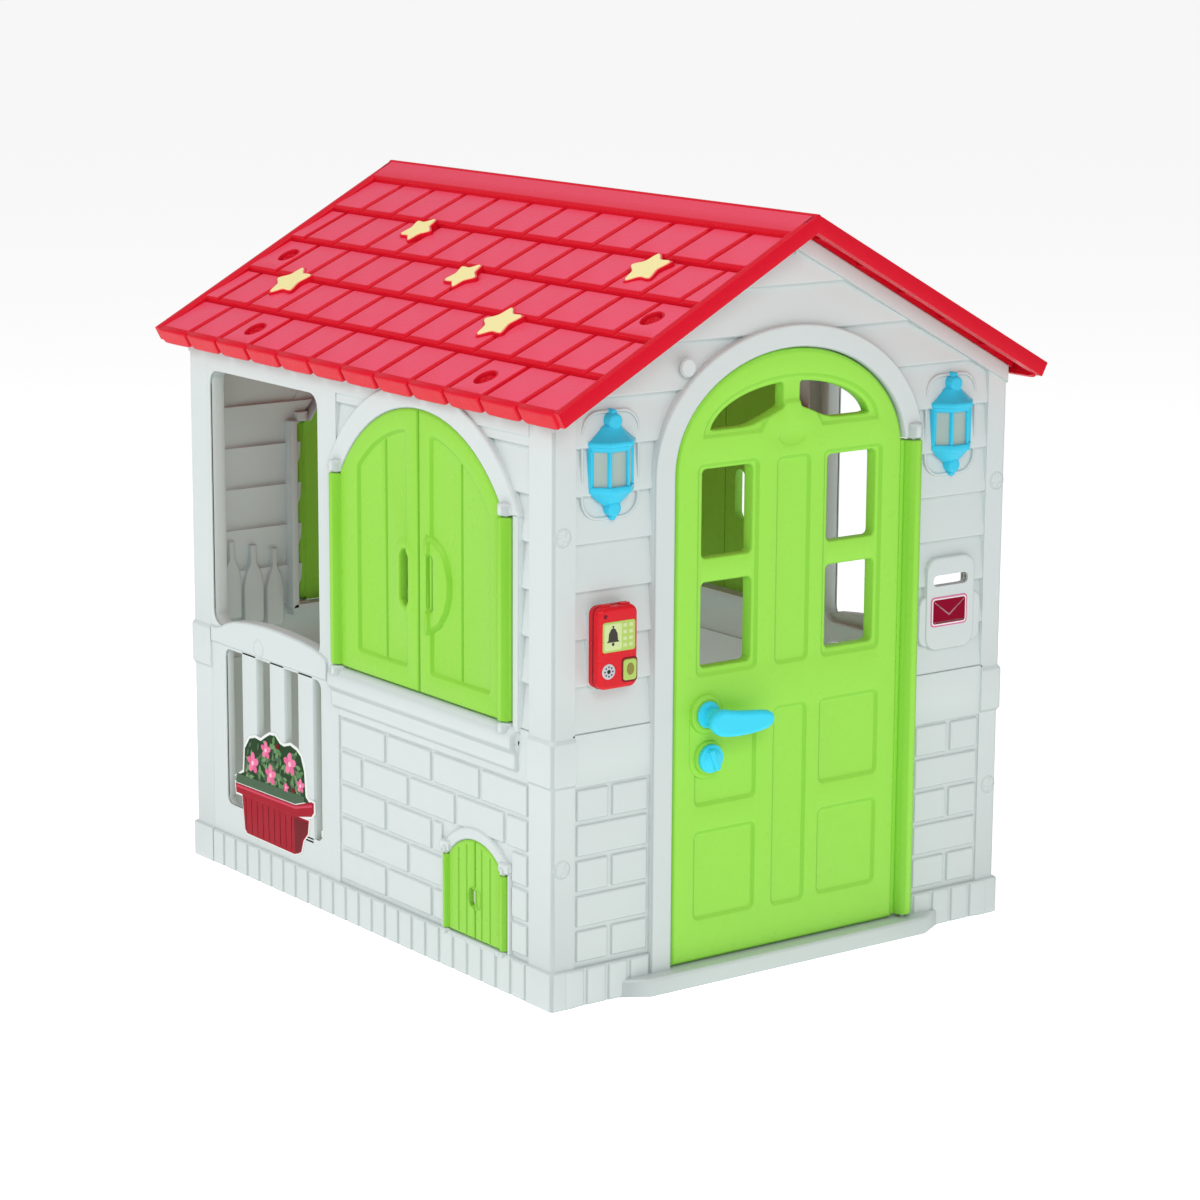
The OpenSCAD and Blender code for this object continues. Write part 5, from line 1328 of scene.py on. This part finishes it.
leafTones = [plastic("printLeaf" + str(k), c, None, (0.3, 0.4), drift=0.5) for k, c in
             enumerate(((74, 122, 66), (98, 140, 84), (46, 84, 50)))]
petalTones = [plastic("printPetal" + str(k), c, None, (0.3, 0.4), drift=0.4) for k, c in
              enumerate(((232, 112, 158), (222, 88, 142)))]
petalHeart = plastic("petalHeart", (246, 190, 205), None, (0.3, 0.4))
potShade = plastic("potShade", (112, 0, 20), None, (0.3, 0.4), specular=0.05)
potRed = plastic("potRed", (162, 6, 34), (178, 20, 48), (0.3, 0.4), specular=0.05)
potLight = plastic("potLight", (204, 64, 90), None, (0.3, 0.4), specular=0.05)
bellRed = plastic("bellRed", (216, 18, 34), None, (0.2, 0.3), coat=0.06)
bellDark = plastic("bellDark", (120, 10, 26), None, (0.3, 0.4))
bellLime = plastic("bellLime", (173, 204, 96), (190, 214, 120), (0.25, 0.35), drift=0.5, coat=0.2)
bellPale = plastic("bellPale", (202, 220, 150), (222, 232, 180), (0.25, 0.35), drift=0.6)
bellInk = plastic("bellInk", (64, 60, 52), None, (0.4, 0.5))
bellBrown = plastic("bellBrown", (140, 130, 60), None, (0.3, 0.4), drift=0.6)
greyPart = plastic("greyPart", (196, 200, 204), None, (0.3, 0.4))
blackPart = plastic("blackPart", (38, 38, 40), None, (0.4, 0.55))
boardPart = plastic("boardPart", (22, 96, 58), (40, 120, 70), (0.3, 0.45), drift=0.5)
pinSteel = plastic("pinSteel", (190, 192, 196), None, (0.25, 0.4), metallic=1.0, dust=0.0)
print("stage 3: finishes ready")

# build every piece
for side, wall in (("front", endWall), ("back", endWall), ("left", sideWall), ("right", sideWall)):
    wall(side).build("house", "white_plastic", [whiteWall], [side + "_wall"])
print("stage 4: walls built")
for side in ("left", "right"):
    fillRoof(side).build("house", "red_plastic", [tileRed, roofRed], ["roof_" + side])
    starBadges(side).build("house", "star_plastic", [starYellow], ["stars_" + side])
wallScrews().build("house", "white_plastic", [whiteWall], ["wall_screws"])
roofScrews().build("house", "red_plastic", [roofRed], ["roof_screws"])
print("stage 5: roof and screws built")
for side in ("left", "right"):
    lanternPiece(side).build("house", "cyan_plastic", [lanternBlue], ["lantern_" + side])
    planterPiece(side).build("house", "planter_print",
                             [printWhite, printDark] + leafTones + petalTones
                             + [petalHeart, potShade, potRed, potLight], ["planter_" + side])
lanternPanes().build("house", "lantern_pane", [paneGrey], ["lantern_panes"])
mailLabel().build("house", "mail_print", [labelPink, labelWhite, labelCrimson, labelShade],
                  ["mail_label"])
doorLeaf().build("door", "green_plastic", [doorGreen], ["door_leaf"])
leverPiece("lever_outer", False).build("handle", "cyan_plastic", [leverBlue], ["handle_outer"])
leverPiece("lever_inner", True).build("handle", "cyan_plastic", [leverBlue], ["handle_inner"])
lockPiece().build("lock", "cyan_plastic", [leverBlue, keyDark], ["lock_knob"])
for name, side, s in (("left_shutter_rear", "left", -1), ("left_shutter_front", "left", 1),
                      ("right_shutter_front", "right", -1), ("right_shutter_rear", "right", 1),
                      ("back_shutter_left", "back", -1), ("back_shutter_right", "back", 1)):
    shutterPiece(name, side, s).build(name, "green_plastic", [leafGreen], [name])
for name, side, s in (("left_pet_leaf_rear", "left", -1), ("left_pet_leaf_front", "left", 1),
                      ("right_pet_leaf_front", "right", -1), ("right_pet_leaf_rear", "right", 1)):
    petPiece(name, side, s, s < 0).build(name, "green_plastic", [leafGreen], [name])
print("stage 6: leaves and fittings built")
bellCase().build("house", "bell_red", [bellRed, bellDark], ["bell_case"])
bellLabel().build("house", "bell_lime", [bellLime, bellPale, bellInk], ["bell_label"])
bellButton().build("button", "bell_lime", [bellLime, bellBrown], ["bell_button"])
bellGrille().build("house", "bell_grey", [greyPart, blackPart], ["bell_grille"])
kept = ((pinSteel, ("door_pins", "left_window_pins", "right_window_pins", "back_window_pins",
                    "left_pet_pins", "right_pet_pins", "bell_batteries", "bell_screws")),
        (leafGreen, ("lock_catch",)), (bellRed, ("bell_back", "bell_battery_cover")),
        (greyPart, ("bell_switch",)), (blackPart, ("bell_speaker",)), (boardPart, ("bell_board",)))
for mat, names in kept:
    for name in names:
        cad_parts[name].data.materials.clear()
        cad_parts[name].data.materials.append(mat)
print("stage 7: bell and kept parts done")

# floor, light and camera
scene = bpy.context.scene
reach = 400
floorMesh = bpy.data.meshes.new("floor")
floorMesh.from_pydata([(-reach, -reach, 0), (reach, -reach, 0), (reach, reach, 0),
                       (-reach, reach, 0)], [], [(0, 1, 2, 3)])
floor = bpy.data.objects.new("floor", floorMesh)
scene.collection.objects.link(floor)
floorMat = bpy.data.materials.new("paleFloor")
floorMat.use_nodes = True
paper = floorMat.node_tree.nodes["Principled BSDF"]
for socket, value in (("Base Color", (0.86, 0.86, 0.86, 1)), ("Roughness", 0.9),
                      ("Specular IOR Level", 0.1), ("Emission Color", (1, 1, 1, 1)),
                      ("Emission Strength", 0.6)):
    paper.inputs[socket].default_value = value
floorMesh.materials.append(floorMat)

world = bpy.data.worlds.new("studio")
scene.world = world
world.use_nodes = True
sky = world.node_tree.nodes["Background"]
sky.inputs["Color"].default_value = (1, 1, 1, 1)
sky.inputs["Strength"].default_value = 0.38


def areaLight(name, place, height, size, power):      # aimed at the house's middle
    data = bpy.data.lights.new(name, "AREA")
    data.shape = "SQUARE"
    data.size = size
    data.energy = power
    obj = bpy.data.objects.new(name, data)
    scene.collection.objects.link(obj)
    obj.location = place
    obj.rotation_euler = (Vector((0, 0, height)) - Vector(place)).to_track_quat("-Z", "Y").to_euler()


areaLight("softLeft", (-4.4, 0.6, 3.6), 0.5, 2.4, 78)
areaLight("softFront", (-2.2, -5.0, 3.5), 0.5, 2.4, 86)
areaLight("softTop", (0.4, -0.4, 5.4), 0.6, 3.0, 45)

view = {"place": (-3.37885, -4.60329, 1.69606), "azimuth": 36.5155, "pitch": 11.9219,
        "roll": 0.3253, "lens": 104.38}
a, e, r = (math.radians(view[k]) for k in ("azimuth", "pitch", "roll"))
forward = Vector((math.sin(a) * math.cos(e), math.cos(a) * math.cos(e), -math.sin(e)))
rightward = Vector((math.cos(a), -math.sin(a), 0))
upward = rightward.cross(forward)
across = rightward * math.cos(r) + upward * math.sin(r)
above = upward * math.cos(r) - rightward * math.sin(r)
cameraData = bpy.data.cameras.new("camera")
cameraData.sensor_width = 36
cameraData.lens = view["lens"]
camera = bpy.data.objects.new("camera", cameraData)
scene.collection.objects.link(camera)
camera.matrix_world = Matrix((
    (across.x, above.x, -forward.x, view["place"][0]),
    (across.y, above.y, -forward.y, view["place"][1]),
    (across.z, above.z, -forward.z, view["place"][2]), (0, 0, 0, 1)))
scene.camera = camera
scene.view_settings.view_transform = "Standard"
print("stage 8: floor, light and camera set")
